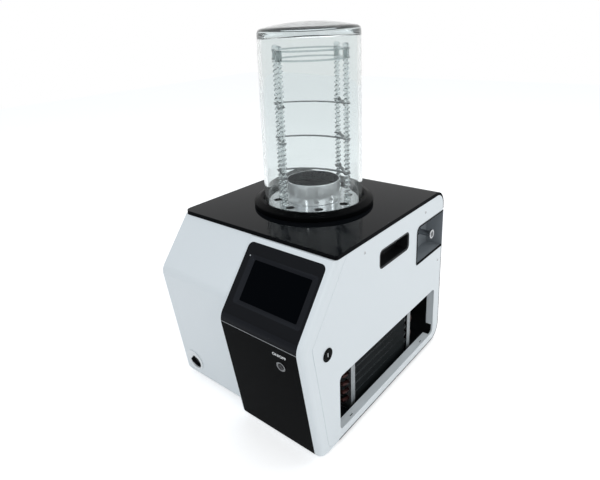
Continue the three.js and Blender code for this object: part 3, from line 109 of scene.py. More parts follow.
AMBIENT_STRENGTH, FLOOR_GLOW = 0.58, 0.5
world = bpy.data.worlds.new("studio")
world.use_nodes = True
scene.world = world
sky = world.node_tree
sky.nodes.clear()
ambient = add(sky, "ShaderNodeBackground", {"Color": linear("F4F8FB"), "Strength": AMBIENT_STRENGTH})
white = add(sky, "ShaderNodeBackground", {"Color": (1, 1, 1, 1), "Strength": 1.0})
mixed = add(sky, "ShaderNodeMixShader", {0: seen_directly(sky), 1: ambient.outputs[0], 2: white.outputs[0]})
add(sky, "ShaderNodeOutputWorld", {"Surface": mixed.outputs[0]})

FLOOR_REACH = 6.0
floor_mesh = bpy.data.meshes.new("floor")
floor_mesh.from_pydata([(-FLOOR_REACH, -FLOOR_REACH, 0), (FLOOR_REACH, -FLOOR_REACH, 0),
                        (FLOOR_REACH, FLOOR_REACH, 0), (-FLOOR_REACH, FLOOR_REACH, 0)], [], [(0, 1, 2, 3)])
floor = bpy.data.objects.new("floor", floor_mesh)
scene.collection.objects.link(floor)
backdrop_white = bpy.data.materials.new("matt_white_backdrop")
backdrop_white.use_nodes = True
tree = backdrop_white.node_tree
tree.nodes.clear()
matt = add(tree, "ShaderNodeBsdfDiffuse", {"Color": linear("F2F2F2")})
glow = add(tree, "ShaderNodeEmission", {"Color": (1, 1, 1, 1), "Strength": FLOOR_GLOW})
both = add(tree, "ShaderNodeAddShader", {0: matt.outputs[0], 1: glow.outputs[0]})
mixed = add(tree, "ShaderNodeMixShader", {0: seen_directly(tree), 1: matt.outputs[0], 2: both.outputs[0]})
add(tree, "ShaderNodeOutputMaterial", {"Surface": mixed.outputs[0]})
floor_mesh.materials.append(backdrop_white)


def lamp(name, place, aim, size, power, colour="FFFFFF"):
    """An area lamp of a width and a height at a place, turned to face a point."""
    data = bpy.data.lights.new(name, "AREA")
    data.shape, data.energy, data.color = "RECTANGLE", power, linear(colour)[:3]
    data.size, data.size_y = size
    made = bpy.data.objects.new(name, data)
    scene.collection.objects.link(made)
    turn = (Vector(aim) - Vector(place)).to_track_quat("-Z", "Y")
    made.matrix_world = Matrix.Translation(place) @ turn.to_matrix().to_4x4()
    made.visible_camera = False


lamp("key_lamp", (-1.6, -2.6, 2.6), (0, 0, 0.3), (1.8, 1.8), 10.5, "E8F2FF")
lamp("fill_lamp", (2.8, -0.8, 1.5), (0, 0, 0.25), (1.6, 1.6), 14.5)
lamp("front_strip", (0.37, -2.63, 1.3), (0, 0, 0.5), (0.35, 1.0), 5)
lamp("side_strip", (2.1, 1.55, 1.3), (0, 0, 0.5), (0.35, 1.0), 5)
lamp("overhead_lamp", (0.2, 0.6, 3.0), (0, 0, 0.4), (2.0, 2.0), 20)

# ---------------------------------------------------------------- base sheet and feet
# One 3 mm steel sheet runs under and behind the machine, baked in satin black. It stands on four moulded
# rubber feet, wider at the top, each held by a screw up a sunk hole.


def surface(name, colour, roughness, metallic=0.0, ior=1.5, gloss=0.5, spread=0.05, grain=1.0, bump=0.0,
            tint=None, stretch=(1, 1, 1), **sockets):
    """A Principled material. Noise of the given grain (mm) moves the roughness by spread either way, raises
    the surface by bump (mm) and mixes tint into the colour; a stretch below 1 makes the grain longer along
    that axis. The noise keeps mostly between 0.3 and 0.7, so that range carries the whole spread."""
    made = bpy.data.materials.new(name)
    made.use_nodes = True
    tree = made.node_tree
    tree.nodes.clear()
    coords = add(tree, "ShaderNodeTexCoord")
    scaled = add(tree, "ShaderNodeMapping", {0: coords.outputs["Object"], "Scale": stretch})
    noise = add(tree, "ShaderNodeTexNoise", {0: scaled.outputs[0], "Scale": 1 / (grain * MM), "Detail": 3.0})
    rough = add(tree, "ShaderNodeMapRange", {
        "Value": noise.outputs[0], "From Min": 0.3, "From Max": 0.7,
        "To Min": roughness - spread, "To Max": roughness + spread})
    shader = add(tree, "ShaderNodeBsdfPrincipled", {
        "Base Color": linear(colour), "Metallic": metallic, "IOR": ior, "Specular IOR Level": gloss,
        "Roughness": rough.outputs[0], **sockets})
    if tint:
        mottled = add(tree, "ShaderNodeMix", {0: noise.outputs[0], 6: linear(colour), 7: linear(tint)},
                      data_type="RGBA")
        tree.links.new(mottled.outputs[2], shader.inputs["Base Color"])
    if bump:
        raised = add(tree, "ShaderNodeBump", {
            "Strength": 1.0, "Distance": bump * MM, "Height": noise.outputs[0]})
        tree.links.new(raised.outputs[0], shader.inputs["Normal"])
    add(tree, "ShaderNodeOutputMaterial", {0: shader.outputs[0]})
    return made


def smoothing_group(angle):
    """A geometry node group: faces are shaded smooth, and edges folded by more than the angle stay sharp."""
    tree = bpy.data.node_groups.new("smooth_below_angle", "GeometryNodeTree")
    for way in ("INPUT", "OUTPUT"):
        tree.interface.new_socket(name="Geometry", in_out=way, socket_type="NodeSocketGeometry")
    entry = add(tree, "NodeGroupInput")
    fold = add(tree, "GeometryNodeInputMeshEdgeAngle")
    sharp = add(tree, "FunctionNodeCompare", {0: fold.outputs["Unsigned Angle"], 1: angle},
                operation="GREATER_THAN")
    soft = add(tree, "GeometryNodeSetShadeSmooth", {"Geometry": entry.outputs[0], "Shade Smooth": True},
               domain="FACE")
    crisp = add(tree, "GeometryNodeSetShadeSmooth", {
        "Geometry": soft.outputs[0], "Selection": sharp.outputs[0], "Shade Smooth": False}, domain="EDGE")
    add(tree, "NodeGroupOutput", {0: crisp.outputs[0]})
    return tree


SMOOTH_BELOW, ROUND_ABOVE = math.radians(36), math.radians(40)
WELD_WITHIN, SLIVER = 1e-6, 1e-7  # in metres
smooth_shading = smoothing_group(SMOOTH_BELOW)


def shade(piece, bevel=0.0):
    """Rounds a piece's sharp edges by bevel (mm) and shades its gentle folds smooth."""
    if bevel:
        rounding = piece.modifiers.new("edge_rounding", "BEVEL")
        rounding.width, rounding.segments = bevel * MM, 2
        rounding.limit_method, rounding.angle_limit = "ANGLE", ROUND_ABOVE
    shading = piece.modifiers.new("smooth_shading", "NODES")
    shading.node_group = smooth_shading
    weighted = piece.modifiers.new("weighted_normals", "WEIGHTED_NORMAL")
    weighted.keep_sharp = True


def dress(name, material, bevel=0.0):
    """Gives a CAD node its material, welds its triangles, and rounds and shades its edges."""
    piece = frame["nodes"][name]
    piece.data.materials.clear()
    piece.data.materials.append(material)
    weld = piece.modifiers.new("weld", "WELD")
    weld.merge_threshold = WELD_WITHIN
    shade(piece, bevel)


def tidy(name, mesh):
    """Welds a mesh, closes its poles, turns its faces outwards and makes it an object at the origin."""
    work = bmesh.new()
    work.from_mesh(mesh)
    bmesh.ops.remove_doubles(work, verts=work.verts, dist=WELD_WITHIN)
    bmesh.ops.dissolve_degenerate(work, edges=work.edges, dist=SLIVER)
    bmesh.ops.recalc_face_normals(work, faces=work.faces)
    for face in work.faces:
        face.smooth = True
    work.to_mesh(mesh)
    work.free()
    piece = bpy.data.objects.new(name, mesh)
    scene.collection.objects.link(piece)
    return piece


def skin(name, grids, rows_close=False, columns_close=True):
    """Surfaces over grids of points in mm, (copies, rows, columns, 3): every four neighbours make a face,
    and a direction that closes joins its last line to its first."""
    copies, rows, columns = grids.shape[:3]
    number = np.arange(rows * columns).reshape(rows, columns)
    r, c = (line.ravel() for line in np.meshgrid(
        np.arange(rows - (not rows_close)), np.arange(columns - (not columns_close)), indexing="ij"))
    r1, c1 = (r + 1) % rows, (c + 1) % columns
    faces = np.c_[number[r, c], number[r, c1], number[r1, c1], number[r1, c]]
    faces = (faces[None] + rows * columns * np.arange(copies)[:, None, None]).reshape(-1, 4)
    mesh = bpy.data.meshes.new(name)
    mesh.from_pydata((grids.reshape(-1, 3) * MM).tolist(), [], faces.tolist())
    return tidy(name, mesh)


def rounded(corners, steps=6):
    """Points round an outline of (u, v, radius) corners: at each corner the arc of that radius that touches
    both its sides."""
    points = np.array([c[:2] for c in corners], float)
    back = np.roll(points, 1, axis=0) - points
    ahead = np.roll(points, -1, axis=0) - points
    made = []
    for corner, here, to_back, to_ahead in zip(corners, points, back, ahead):
        radius = corner[2] if len(corner) > 2 else 0
        if not radius:
            made.append(here[None])
            continue
        a, b = to_back / np.hypot(*to_back), to_ahead / np.hypot(*to_ahead)
        half = math.acos(np.clip(a @ b, -1, 1)) / 2
        centre = here + (a + b) / np.hypot(*(a + b)) * radius / math.sin(half)
        start, end = (here + s * radius / math.tan(half) - centre for s in (a, b))
        from_angle = math.atan2(start[1], start[0])
        turn = (math.atan2(end[1], end[0]) - from_angle + math.pi) % math.tau - math.pi
        t = from_angle + turn * np.linspace(0, 1, steps + 1)
        made.append(centre + radius * np.c_[np.cos(t), np.sin(t)])
    return np.concatenate(made)


def seat(origin, across=(1, 0, 0), up=(0, 1, 0), out=(0, 0, 1)):
    """A place for a piece: an origin in mm and three directions."""
    return tuple(np.array(v, float) for v in (origin, across, up, out))


def turned(name, profile, place, segments=96):
    """A profile of (radius, height) carried round an axis: origin + r cos t across + r sin t up + h out. It
    is closed, unless it starts on the axis."""
    origin, across, up, out = place
    t = np.linspace(0, math.tau, segments, endpoint=False)[None, :, None]
    r, h = profile[:, 0][:, None, None], profile[:, 1][:, None, None]
    grid = origin + r * np.cos(t) * across + r * np.sin(t) * up + h * out
    return skin(name, grid[None], rows_close=profile[0, 0] > 0)


def settle(piece, material, slot, *nodes, body="machine", bevel=0.0):
    """Gives a new piece its material, lets it ride on its body and stand for CAD nodes; slot is not used."""
    piece.data.materials.append(material)
    shade(piece, bevel)
    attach(piece, body)
    if nodes:
        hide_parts(*nodes)
    return piece


def box_mm(node):
    """A node's lowest and highest corners in mm."""
    return tuple(np.array(corner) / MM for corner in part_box(node))


def box_and_middle(node):
    """A node's lowest and highest corners and its middle, in mm."""
    low, high = box_mm(node)
    return low, high, (low + high) / 2


# baked enamel over steel: soft highlights and a trace of orange peel
satin_black = surface("black_satin_enamel", "17191B", 0.45, gloss=0.25, spread=0.05, grain=1.2, bump=0.006)
dress("rear_base_wrap", satin_black, 0.3)
# vulcanised rubber: dull, faintly mottled
foot_rubber = surface("black_moulded_rubber", "121213", 0.7, gloss=0.3, spread=0.08, grain=1.5, bump=0.01)
SCREW_HOLE, SCREW_HOLE_DEEP = 3.4, 4.0
HOLE_MOUTH, HOLE_MOUTH_DEEP = 5.0, 2.0
FOOT_TOE_IN, FOOT_RIM = 2.5, 2.5  # how much narrower the sole is, and the height of the upright rim
for number in (1, 2, 3, 4):
    low, high, middle = box_and_middle(f"rubber_foot_{number}")
    sole, top, head = low[2], high[2], (high - low)[0] / 2
    foot = turned(f"screwed_rubber_foot_{number}", rounded([
        (0, sole + SCREW_HOLE_DEEP), (SCREW_HOLE, sole + SCREW_HOLE_DEEP),
        (SCREW_HOLE, sole + HOLE_MOUTH_DEEP, 0.4), (HOLE_MOUTH, sole, 0.6), (head - FOOT_TOE_IN, sole, 1.6),
        (head, top - FOOT_RIM, 1.5), (head, top, 0.5), (0, top)]), seat((middle[0], middle[1], 0)), 48)
    settle(foot, foot_rubber, "rubber", f"rubber_foot_{number}")

# ---------------------------------------------------------------- cabinet skin
# A moulded front and 3 mm steel side panels, all sprayed the same white; a folded liner stands behind the
# intake window.
# powder enamel: an even satin white with a very fine orange peel
white_enamel = surface("white_powder_enamel", "E4EAED", 0.38, spread=0.04, grain=0.9, bump=0.004, tint="DFE6EA")
for name in ("front_shell", "side_panel_right", "side_panel_left", "window_liner"):
    dress(name, white_enamel, 0.15)

# a white filler strip closes the seam behind each side panel's front edge
SEAM_COVER, SEAM_SUNK = 5.0, 0.9  # how far it reaches either way of the edge, and how deep it lies
SEAM_ROWS, SEAM_END = 120, 2.0  # points up the strip, and what is left free at each end of it
FACE_WITHIN, FRONT_ZONE = 0.2, 130.0  # a panel's face, and the part of it that holds its front edge
LEAST_RISE = 0.01


def front_edge(points, heights):
    """The y of a face's front edge at each height. The edge bulges forwards, so it is the foremost of all
    chords of the face that span the height: y below + part of the rise * (y above - y below)."""
    below, above = np.repeat(points, len(points), axis=0), np.tile(points, (len(points), 1))
    rising = above[:, 2] - below[:, 2] > LEAST_RISE
    below, above = below[rising, :, None], above[rising, :, None]
    part = (heights - below[:, 2]) / (above[:, 2] - below[:, 2])
    chord = below[:, 1] + part * (above[:, 1] - below[:, 1])
    spans = (below[:, 2] <= heights) & (above[:, 2] >= heights)
    return np.where(spans, chord, np.inf).min(axis=0)


for side in ("right", "left"):
    panel = frame["nodes"][f"side_panel_{side}"].data
    spots = np.empty(len(panel.vertices) * 3)
    panel.vertices.foreach_get("co", spots)
    spots = spots.reshape(-1, 3) / MM
    outermost = np.abs(spots[:, 0]).max()
    face = spots[np.abs(spots[:, 0]) > outermost - FACE_WITHIN]
    heights = np.linspace(face[:, 2].min() + SEAM_END, face[:, 2].max() - SEAM_END, SEAM_ROWS)
    edge_y = front_edge(face[face[:, 1] < face[:, 1].min() + FRONT_ZONE], heights)
    y = edge_y[:, None] + np.array([-SEAM_COVER, 0, SEAM_COVER])
    x = np.sign(spots[:, 0].mean()) * (outermost - SEAM_SUNK) + 0 * y
    filler = skin(f"seam_filler_{side}", np.stack([x, y, heights[:, None] + 0 * y], axis=-1)[None],
                  columns_close=False)
    settle(filler, white_enamel, "white_enamel")

# ---------------------------------------------------------------- panel screws
# Six small stainless button-head screws with a hexagon socket hold the side panels.
# cold-headed stainless steel: bright, with soft machining marks
stainless = surface("stainless_steel", "B9BBBD", 0.30, metallic=1.0, spread=0.06, grain=1.5, bump=0.002)
SCREW_OUTLINE = np.array([
    (0, -8), (1.4, -8), (1.5, -1.3), (3.2, -1.3), (3.1, -0.7), (2.6, -0.2), (2.0, 0), (1.45, 0), (1.3, -0.1),
    (1.3, -1.1), (0, -1.1)])  # radius and height, from the tip of the shank over the head into the socket
SOCKET_FROM = 7  # the outline's point where the socket begins
t = np.linspace(0, math.tau, 24, endpoint=False)
# a hexagon's reach by direction: cos 30 / cos(angle from the middle of the nearest side)
hexagon = math.cos(math.pi / 6) / np.cos(t % (math.pi / 3) - math.pi / 6)
across, rise = SCREW_OUTLINE.T
r = across[:, None] * np.where((np.arange(len(across)) >= SOCKET_FROM)[:, None], hexagon[None], 1.0)
for side, way in (("right", 1), ("left", -1)):
    for number in (1, 2, 3):
        low, high, middle = box_and_middle(f"panel_screw_{side}_{number}")
        face = high[0] if way > 0 else low[0]
        grid = np.stack([face + way * (rise[:, None] + 0 * r), middle[1] + r * np.cos(t),
                         middle[2] + r * np.sin(t)], axis=-1)
        settle(skin(f"socket_screw_{side}_{number}", grid[None]), stainless, "stainless_steel",
               f"panel_screw_{side}_{number}")

# ---------------------------------------------------------------- refrigeration
# Behind the window the condenser: two folded galvanised plates, a dense pack of thin fins pressed on collars
# over a copper serpentine, and a fan behind it. The hermetic compressor and its pipes stand on the base.
# hot-dip zinc on steel: soft grey with a cloudy spangle
galvanised = surface("galvanised_steel", "9DA1A3", 0.45, metallic=1.0, spread=0.1, grain=7, tint="858A8D")
# aluminium fin foil coloured near black: dark, slightly sheeny
fin_foil = surface("near_black_fin_foil", "23282A", 0.5, gloss=0.3, spread=0.08, grain=2)
# drawn copper: warm, dulled by handling
copper = surface("copper_tube", "8A5A45", 0.38, metallic=1.0, spread=0.08, grain=6, tint="70483A")
dress("condenser_plate_front", galvanised)
dress("condenser_plate_rear", galvanised)

FIN_PITCH, FIN_THICK, FIN_INSET = 2.5, 0.35, 1.8
FIN_END, FIN_LIFT = 1.0, 0.3  # free of the plates at both ends, and of what it stands on
low, high = box_mm("condenser_fins")
stations = np.arange(low[1] + FIN_END, high[1] - FIN_END, FIN_PITCH)
foot, front = low[2] + FIN_LIFT, high[0] - FIN_INSET
corners = np.array([(low[0], foot), (front, foot), (front, high[2]), (low[0], high[2])])
middle = corners.mean(axis=0)
rows = np.array([middle + 0 * corners, corners, corners, middle + 0 * corners])[None]
depth = np.array([0, 0, FIN_THICK, FIN_THICK])[None, :, None] + stations[:, None, None]
grids = np.stack([rows[..., 0] + 0 * depth, depth + 0 * rows[..., 0], rows[..., 1] + 0 * depth], axis=-1)
settle(skin("condenser_fin_pack", grids), fin_foil, "aluminium_fins", "condenser_fins")

# inside the pack the fins' collars cover the tube, so it turns from copper to dull aluminium a little way
# outside the pack's ends; the copper bends outside are a darker copy of the other copper pipes: painted shade
BEND_COPPER, COLLAR_ALUMINIUM, COLLARS_PAST_PACK = "3A2523", "C8CDD0", 10.0
collared_tube = surface("shaded_copper_tube_with_collars", BEND_COPPER, 0.42, metallic=1.0, spread=0.08, grain=6)
tree = collared_tube.node_tree
shader = next(node for node in tree.nodes if node.type == "BSDF_PRINCIPLED")
coords = add(tree, "ShaderNodeTexCoord")
along = add(tree, "ShaderNodeSeparateXYZ", {0: coords.outputs["Object"]})
before_rear = add(tree, "ShaderNodeMath", {
    0: along.outputs["Y"], 1: (high[1] + COLLARS_PAST_PACK) * MM}, operation="LESS_THAN")
behind_front = add(tree, "ShaderNodeMath", {
    0: along.outputs["Y"], 1: (low[1] - COLLARS_PAST_PACK) * MM}, operation="GREATER_THAN")
in_pack = add(tree, "ShaderNodeMath", {0: before_rear.outputs[0], 1: behind_front.outputs[0]},
              operation="MULTIPLY")
tube_colour = add(tree, "ShaderNodeMix", {
    0: in_pack.outputs[0], 6: linear(BEND_COPPER), 7: linear(COLLAR_ALUMINIUM)}, data_type="RGBA")
tree.links.new(tube_colour.outputs[2], shader.inputs["Base Color"])
dress("condenser_tube", collared_tube)

# injection-moulded ABS: dull black with a fine grain
black_moulding = surface("black_abs_moulding", "101113", 0.42, gloss=0.35, spread=0.08, grain=0.7, bump=0.01)
dress("fan_blade", black_moulding)
for name in ("fan_shroud", "fan_motor", "compressor"):
    dress(name, satin_black)
for name in ("filter_drier", "discharge_line", "liquid_line", "capillary_line", "suction_line"):
    dress(name, copper)

# ---------------------------------------------------------------- side fittings
# Black moulded cups behind the handle slots, a grey tray with the vacuum spigot at the rear corner, a round
# data port, and the power inlet.
for name in ("handle_cup_right", "handle_cup_left"):
    dress(name, black_moulding, 0.7)
# moulded nylon: deeper black than the cups, with hardly any shine
dress("data_port", surface("black_connector_moulding", "040506", 0.4, gloss=0.02, grain=0.7), 0.5)
dress("power_inlet", black_moulding, 0.3)
# ABS: fine spark-eroded grain
grey_moulding = surface("grey_abs_moulding", "858B90", 0.5, spread=0.06, grain=0.7, bump=0.01, gloss=0.3)
dress("port_recess", grey_moulding, 0.5)
dress("vacuum_pipe", foot_rubber)


def block(low_u, high_u, low_v, high_v, radius, steps=6):
    """The outline of a rectangle with round corners."""
    return rounded([(low_u, low_v, radius), (high_u, low_v, radius), (high_u, high_v, radius),
                    (low_u, high_v, radius)], steps)


def prism(name, outline, place, low, high):
    """An outline of (u, v) pushed along a direction from low to high: rows are the outline's middle, the
    outline at both heights, and the middle again, which closes both ends."""
    origin, across, up, out = place
    middle = outline.mean(axis=0)
    rings = np.array([middle + 0 * outline, outline, outline, middle + 0 * outline])
    h = np.array([low, low, high, high])[:, None, None]
    grid = origin + rings[..., :1] * across + rings[..., 1:] * up + h * out
    return skin(name, grid[None])


def bead(name, path, radius, x, closed):
    """A round bead along a path of (y, z) in a plane of constant x: circles across the path, square to it."""
    ahead = np.roll(path, -1, axis=0) - np.roll(path, 1, axis=0)
    if not closed:
        ahead[0], ahead[-1] = path[1] - path[0], path[-1] - path[-2]
    side = np.c_[-ahead[:, 1], ahead[:, 0]] / np.hypot(*ahead.T)[:, None]
    t = np.linspace(0, math.tau, 10, endpoint=False)[None, :, None]
    flat = path[:, None] + radius * np.cos(t) * side[:, None]
    grid = np.concatenate([x + radius * np.sin(t) + 0 * flat[..., :1], flat], axis=-1)
    return skin(name, grid[None], rows_close=closed)


# black edging round the tray's opening, and a thin grey bead inside each handle cup: a painted highlight on the
# cup's inner edge
edge_black = surface("black_rubber_edging", "050607", 0.5, gloss=0.05, grain=2)
rim_grey = surface("grey_rim_painted_highlight", "4A4F52", 0.4, gloss=0.4, grain=2)
low, high = box_mm("port_recess")
panel_face = box_mm("side_panel_right")[1][0]
EDGING, EDGING_SUNK, EDGING_END = 2.4, 1.0, 3.0
RECESS_FOOT_CORNER, RECESS_TOP_CORNER = 6.0, 14.0
tray_edge = rounded([
    (high[1] - EDGING_END, low[2] + EDGING), (low[1] + EDGING, low[2] + EDGING, RECESS_FOOT_CORNER),
    (low[1] + EDGING, high[2] - EDGING, RECESS_TOP_CORNER), (high[1] - EDGING_END, high[2] - EDGING)])
settle(bead("recess_edging", tray_edge, EDGING, panel_face - EDGING_SUNK, False), edge_black, "rubber")
RIM_INSET, RIM_CORNER, RIM_SUNK, RIM_RADIUS = 3.5, 8.2, 1.6, 0.5
for side in ("right", "left"):
    low, high = box_mm(f"handle_cup_{side}")
    rim = block(low[1] + RIM_INSET, high[1] - RIM_INSET, low[2] + RIM_INSET, high[2] - RIM_INSET, RIM_CORNER)
    face = high[0] - RIM_SUNK if side == "right" else low[0] + RIM_SUNK
    settle(bead(f"handle_cup_highlight_rim_{side}", rim, RIM_RADIUS, face, True), rim_grey, "grey_plastic")

# the bright metal tongue in the data port's socket
TONGUE_HALF_LONG, TONGUE_HALF_THICK, TONGUE_ROOT, TONGUE_TIP = 4.5, 1.0, -11.9, -0.8
low, high, middle = box_and_middle("data_port")
tongue = prism("data_port_tongue",
               block(-TONGUE_HALF_LONG, TONGUE_HALF_LONG, -TONGUE_HALF_THICK, TONGUE_HALF_THICK, 0.3, 2),
               seat((high[0], middle[1], middle[2]), (0, 0, 1), (0, 1, 0), (1, 0, 0)), TONGUE_ROOT, TONGUE_TIP)
settle(tongue, stainless, "stainless_steel")

# the vacuum spigot: a turned barrel with a small flange to clamp a hose to
RECESS_WALL, SPIGOT_BORE, SPIGOT_BARREL, SPIGOT_NUT, SPIGOT_FLANGE = 2.5, 4.5, 7.5, 11.0, 12.0
low, high, middle = box_and_middle("vacuum_spigot")
root, tip = low[0], high[0]
tray_floor = box_mm("port_recess")[0][0] + RECESS_WALL
spigot = turned("turned_vacuum_spigot", rounded([
    (SPIGOT_BORE, root), (SPIGOT_BARREL, root, 0.4), (SPIGOT_BARREL, tray_floor + 0.3),
    (SPIGOT_NUT, tray_floor + 0.3, 0.5), (SPIGOT_NUT, tray_floor + 4, 0.8),
    (SPIGOT_BARREL, tray_floor + 4, 0.8),
    (SPIGOT_BARREL, tip - 7, 1), (SPIGOT_FLANGE, tip - 5, 0.8), (SPIGOT_FLANGE, tip, 0.9),
    (7, tip, 0.4), (7, tip - 3, 0.3), (SPIGOT_BORE, tip - 3, 0.4)], 4),
    seat((0, middle[1], middle[2]), (0, 1, 0), (0, 0, 1), (1, 0, 0)), 64)
# machined and polished: darker in its reflections than the sheet parts
polished_steel = surface("polished_stainless_steel", "A7A9AB", 0.16, metallic=1.0, spread=0.05, grain=2,
                         bump=0.001)
settle(spigot, polished_steel, "stainless_steel", "vacuum_spigot")

# ---------------------------------------------------------------- console
# Two black panels let into the front and bent over its fold, with a bright trim strip over the joint. The
# touch screen is a glass pane behind a sloping frame, with a small lamp at its upper left.
# textured lacquer: deep black with next to no shine
console_black = surface("black_textured_lacquer", "0D0F13", 0.36, gloss=0.06, spread=0.06, grain=0.6,
                        bump=0.006)
bezel = tidy("console_bezel", frame["nodes"]["upper_bezel"].data.copy())
bezel.data.materials.clear()
settle(bezel, console_black, "console_panel", "upper_bezel", bevel=0.5)
# the slope down to the glass is lacquered smooth and glossier, and its colour is a shade lighter: painted
# highlight
bezel.data.materials.append(surface("black_smooth_lacquer_painted_highlight", "11141A", 0.25, gloss=0.085, spread=0.04, grain=2))
facets = np.array([[*f.normal, f.area] for f in bezel.data.polygons])
normals = facets[:, :3]


def widest(chosen):
    """The normal of the largest of the chosen facets."""
    return facets[chosen][np.argmax(facets[chosen][:, 3])][:3]


# a slope turns out of the upper face by 6 to about 73 degrees and isn't part of the lower face; all three
# values are cosines
LEAST_TURN, MOST_TURN, SAME_AS_LOWER = math.cos(math.radians(6)), 0.3, 0.98
to_front = (normals[:, 1] < -0.3) & (np.abs(normals[:, 0]) < 0.02)
upper_face = widest(to_front & (normals[:, 2] > 0.2))
lower_face = widest(to_front & (normals[:, 2] < 0))
leaning = normals @ upper_face
sloped = (leaning > MOST_TURN) & (leaning < LEAST_TURN) & (normals @ lower_face < SAME_AS_LOWER)
bezel.data.polygons.foreach_set("material_index", sloped.astype(np.int32))
# the same lacquer as above, in a darker, duller copy where the panel faces the floor: painted shade
lower_black = surface("black_textured_lacquer_painted_shade", "0A0B0C", 0.5, gloss=0.012, spread=0.06, grain=0.6,
                      bump=0.006)
dress("lower_panel", lower_black, 0.3)
# coated cover glass over a dark display
dress("touch_screen", surface("screen_glass", "020407", 0.06, gloss=0.006, spread=0.015, grain=30), 0.2)
# moulded diffuser: milky and even
dress("status_lamp", surface("milky_lamp_lens", "A9AEB0", 0.3, grain=2))

# drawn aluminium, clear anodised
trim_aluminium = surface("anodised_trim", "8E9194", 0.35, metallic=0.4, spread=0.05, grain=1,
                         stretch=(0.1, 1, 1))
TRIM_HALF, TRIM_BACK, TRIM_PROUD = 0.6, 0.02, 0.06
low, high, middle = box_and_middle("lower_panel")
joint = (high[2] + box_mm("upper_bezel")[0][2]) / 2
half = (high - low)[0] / 2
strip = prism("console_trim_strip", block(-half, half, -TRIM_HALF, TRIM_HALF, 0.3, 2),
              seat((middle[0], low[1], joint), (1, 0, 0), (0, 0, 1), (0, -1, 0)), TRIM_BACK, TRIM_PROUD)
settle(strip, trim_aluminium, "stainless_steel")

# ---------------------------------------------------------------- push button
# A nickel-plated metal push button, 22 mm across: a flanged ring and a cap that travels in it, both turned
# with fine concentric steps. ON/OFF is printed above it.
press = np.array(next(j["axis"] for j in frame["joints"] if j["name"] == "power_button_press"))
out_of_panel = -press / np.linalg.norm(press)
up_the_panel = np.cross(out_of_panel, (1, 0, 0))
up_the_panel *= np.sign(up_the_panel[2])
CAP_FOOT, CAP_CREST, CAP_RADIUS = -5.6, 2.1, 7.0
BARREL, FLANGE, CAP_WELL, WELL_FLOOR, BARREL_FOOT = 9.3, 11.0, 7.3, -7.9, -24.0
cap_middle = box_and_middle("power_button_cap")[2]
button_face = seat(cap_middle - out_of_panel * (CAP_FOOT + CAP_CREST) / 2, (1, 0, 0), up_the_panel,
                   out_of_panel)
# plated and turned, with fine rings; its colour darkened for the dark surroundings it mirrors: painted
# reflection
nickel = surface("nickel_plate_painted_reflection", "6E7072", 0.2, metallic=1.0, spread=0.06, grain=1.0, bump=0.002)
ring = turned("button_ring", rounded([
    (0, BARREL_FOOT), (BARREL, BARREL_FOOT, 0.5), (BARREL, 0.3), (FLANGE, 0.3, 0.2), (FLANGE, 1.1, 0.3),
    (10.2, 1.6, 0.3), (8.6, 1.6, 0.2), (8.1, 1.1, 0.2), (CAP_WELL, 1.1, 0.1), (CAP_WELL, WELL_FLOOR),
    (0, WELL_FLOOR)], 3), button_face, 72)
settle(ring, nickel, "stainless_steel", "power_button_ring")
cap = turned("button_cap", rounded([
    (0, CAP_FOOT), (CAP_RADIUS, CAP_FOOT, 0.2), (CAP_RADIUS, CAP_CREST - 0.5, 0.4), (6.2, CAP_CREST, 0.2),
    (4.9, CAP_CREST, 0.1), (4.7, CAP_CREST - 0.5, 0.1), (4.2, CAP_CREST - 0.5, 0.1),
    (4.0, CAP_CREST - 0.15, 0.1), (1.6, CAP_CREST - 0.3, 0.1), (1.4, CAP_CREST - 0.7, 0.1),
    (0, CAP_CREST - 0.8)], 2), button_face, 72)
# the cap's colour is darker still: painted dark reflection in the button's middle
settle(cap, surface("cap_plate_painted_reflection", "232426", 0.22, metallic=1.0, spread=0.06, grain=1.0, bump=0.002),
       "stainless_steel", "power_button_cap", body="power_button")

LETTERING_HEIGHT, LETTERING_RISE = 7.0, 27.0
CAPITALS = 0.73  # a capital's height as a share of the type size
INK_HALF_THICK, INK_ABOVE_PANEL, STROKE_WIDER = 0.06, 0.08, 0.12
letters = bpy.data.curves.new("lettering", "FONT")
letters.body, letters.align_x, letters.size = "ON/OFF", "CENTER", LETTERING_HEIGHT / CAPITALS
letters.extrude, letters.offset = INK_HALF_THICK, STROKE_WIDER
letters_object = bpy.data.objects.new("lettering", letters)
scene.collection.objects.link(letters_object)
evaluated = letters_object.evaluated_get(bpy.context.evaluated_depsgraph_get())
lettering_mesh = bpy.data.meshes.new_from_object(evaluated)
bpy.data.objects.remove(letters_object)
flat = np.empty(len(lettering_mesh.vertices) * 3)
lettering_mesh.vertices.foreach_get("co", flat)
flat = flat.reshape(-1, 3)
origin, across, up, out = button_face
placed = (origin + flat[:, :1] * across + (flat[:, 1:2] + LETTERING_RISE - LETTERING_HEIGHT / 2) * up
          + (flat[:, 2:] + INK_ABOVE_PANEL) * out)
lettering_mesh.vertices.foreach_set("co", (placed * MM).ravel())
lettering_mesh.materials.clear()
lettering = tidy("on_off_lettering", lettering_mesh)
# screen-printed ink
settle(lettering, surface("white_printing_ink", "F4F6F7", 0.6, grain=1), "white_plastic")

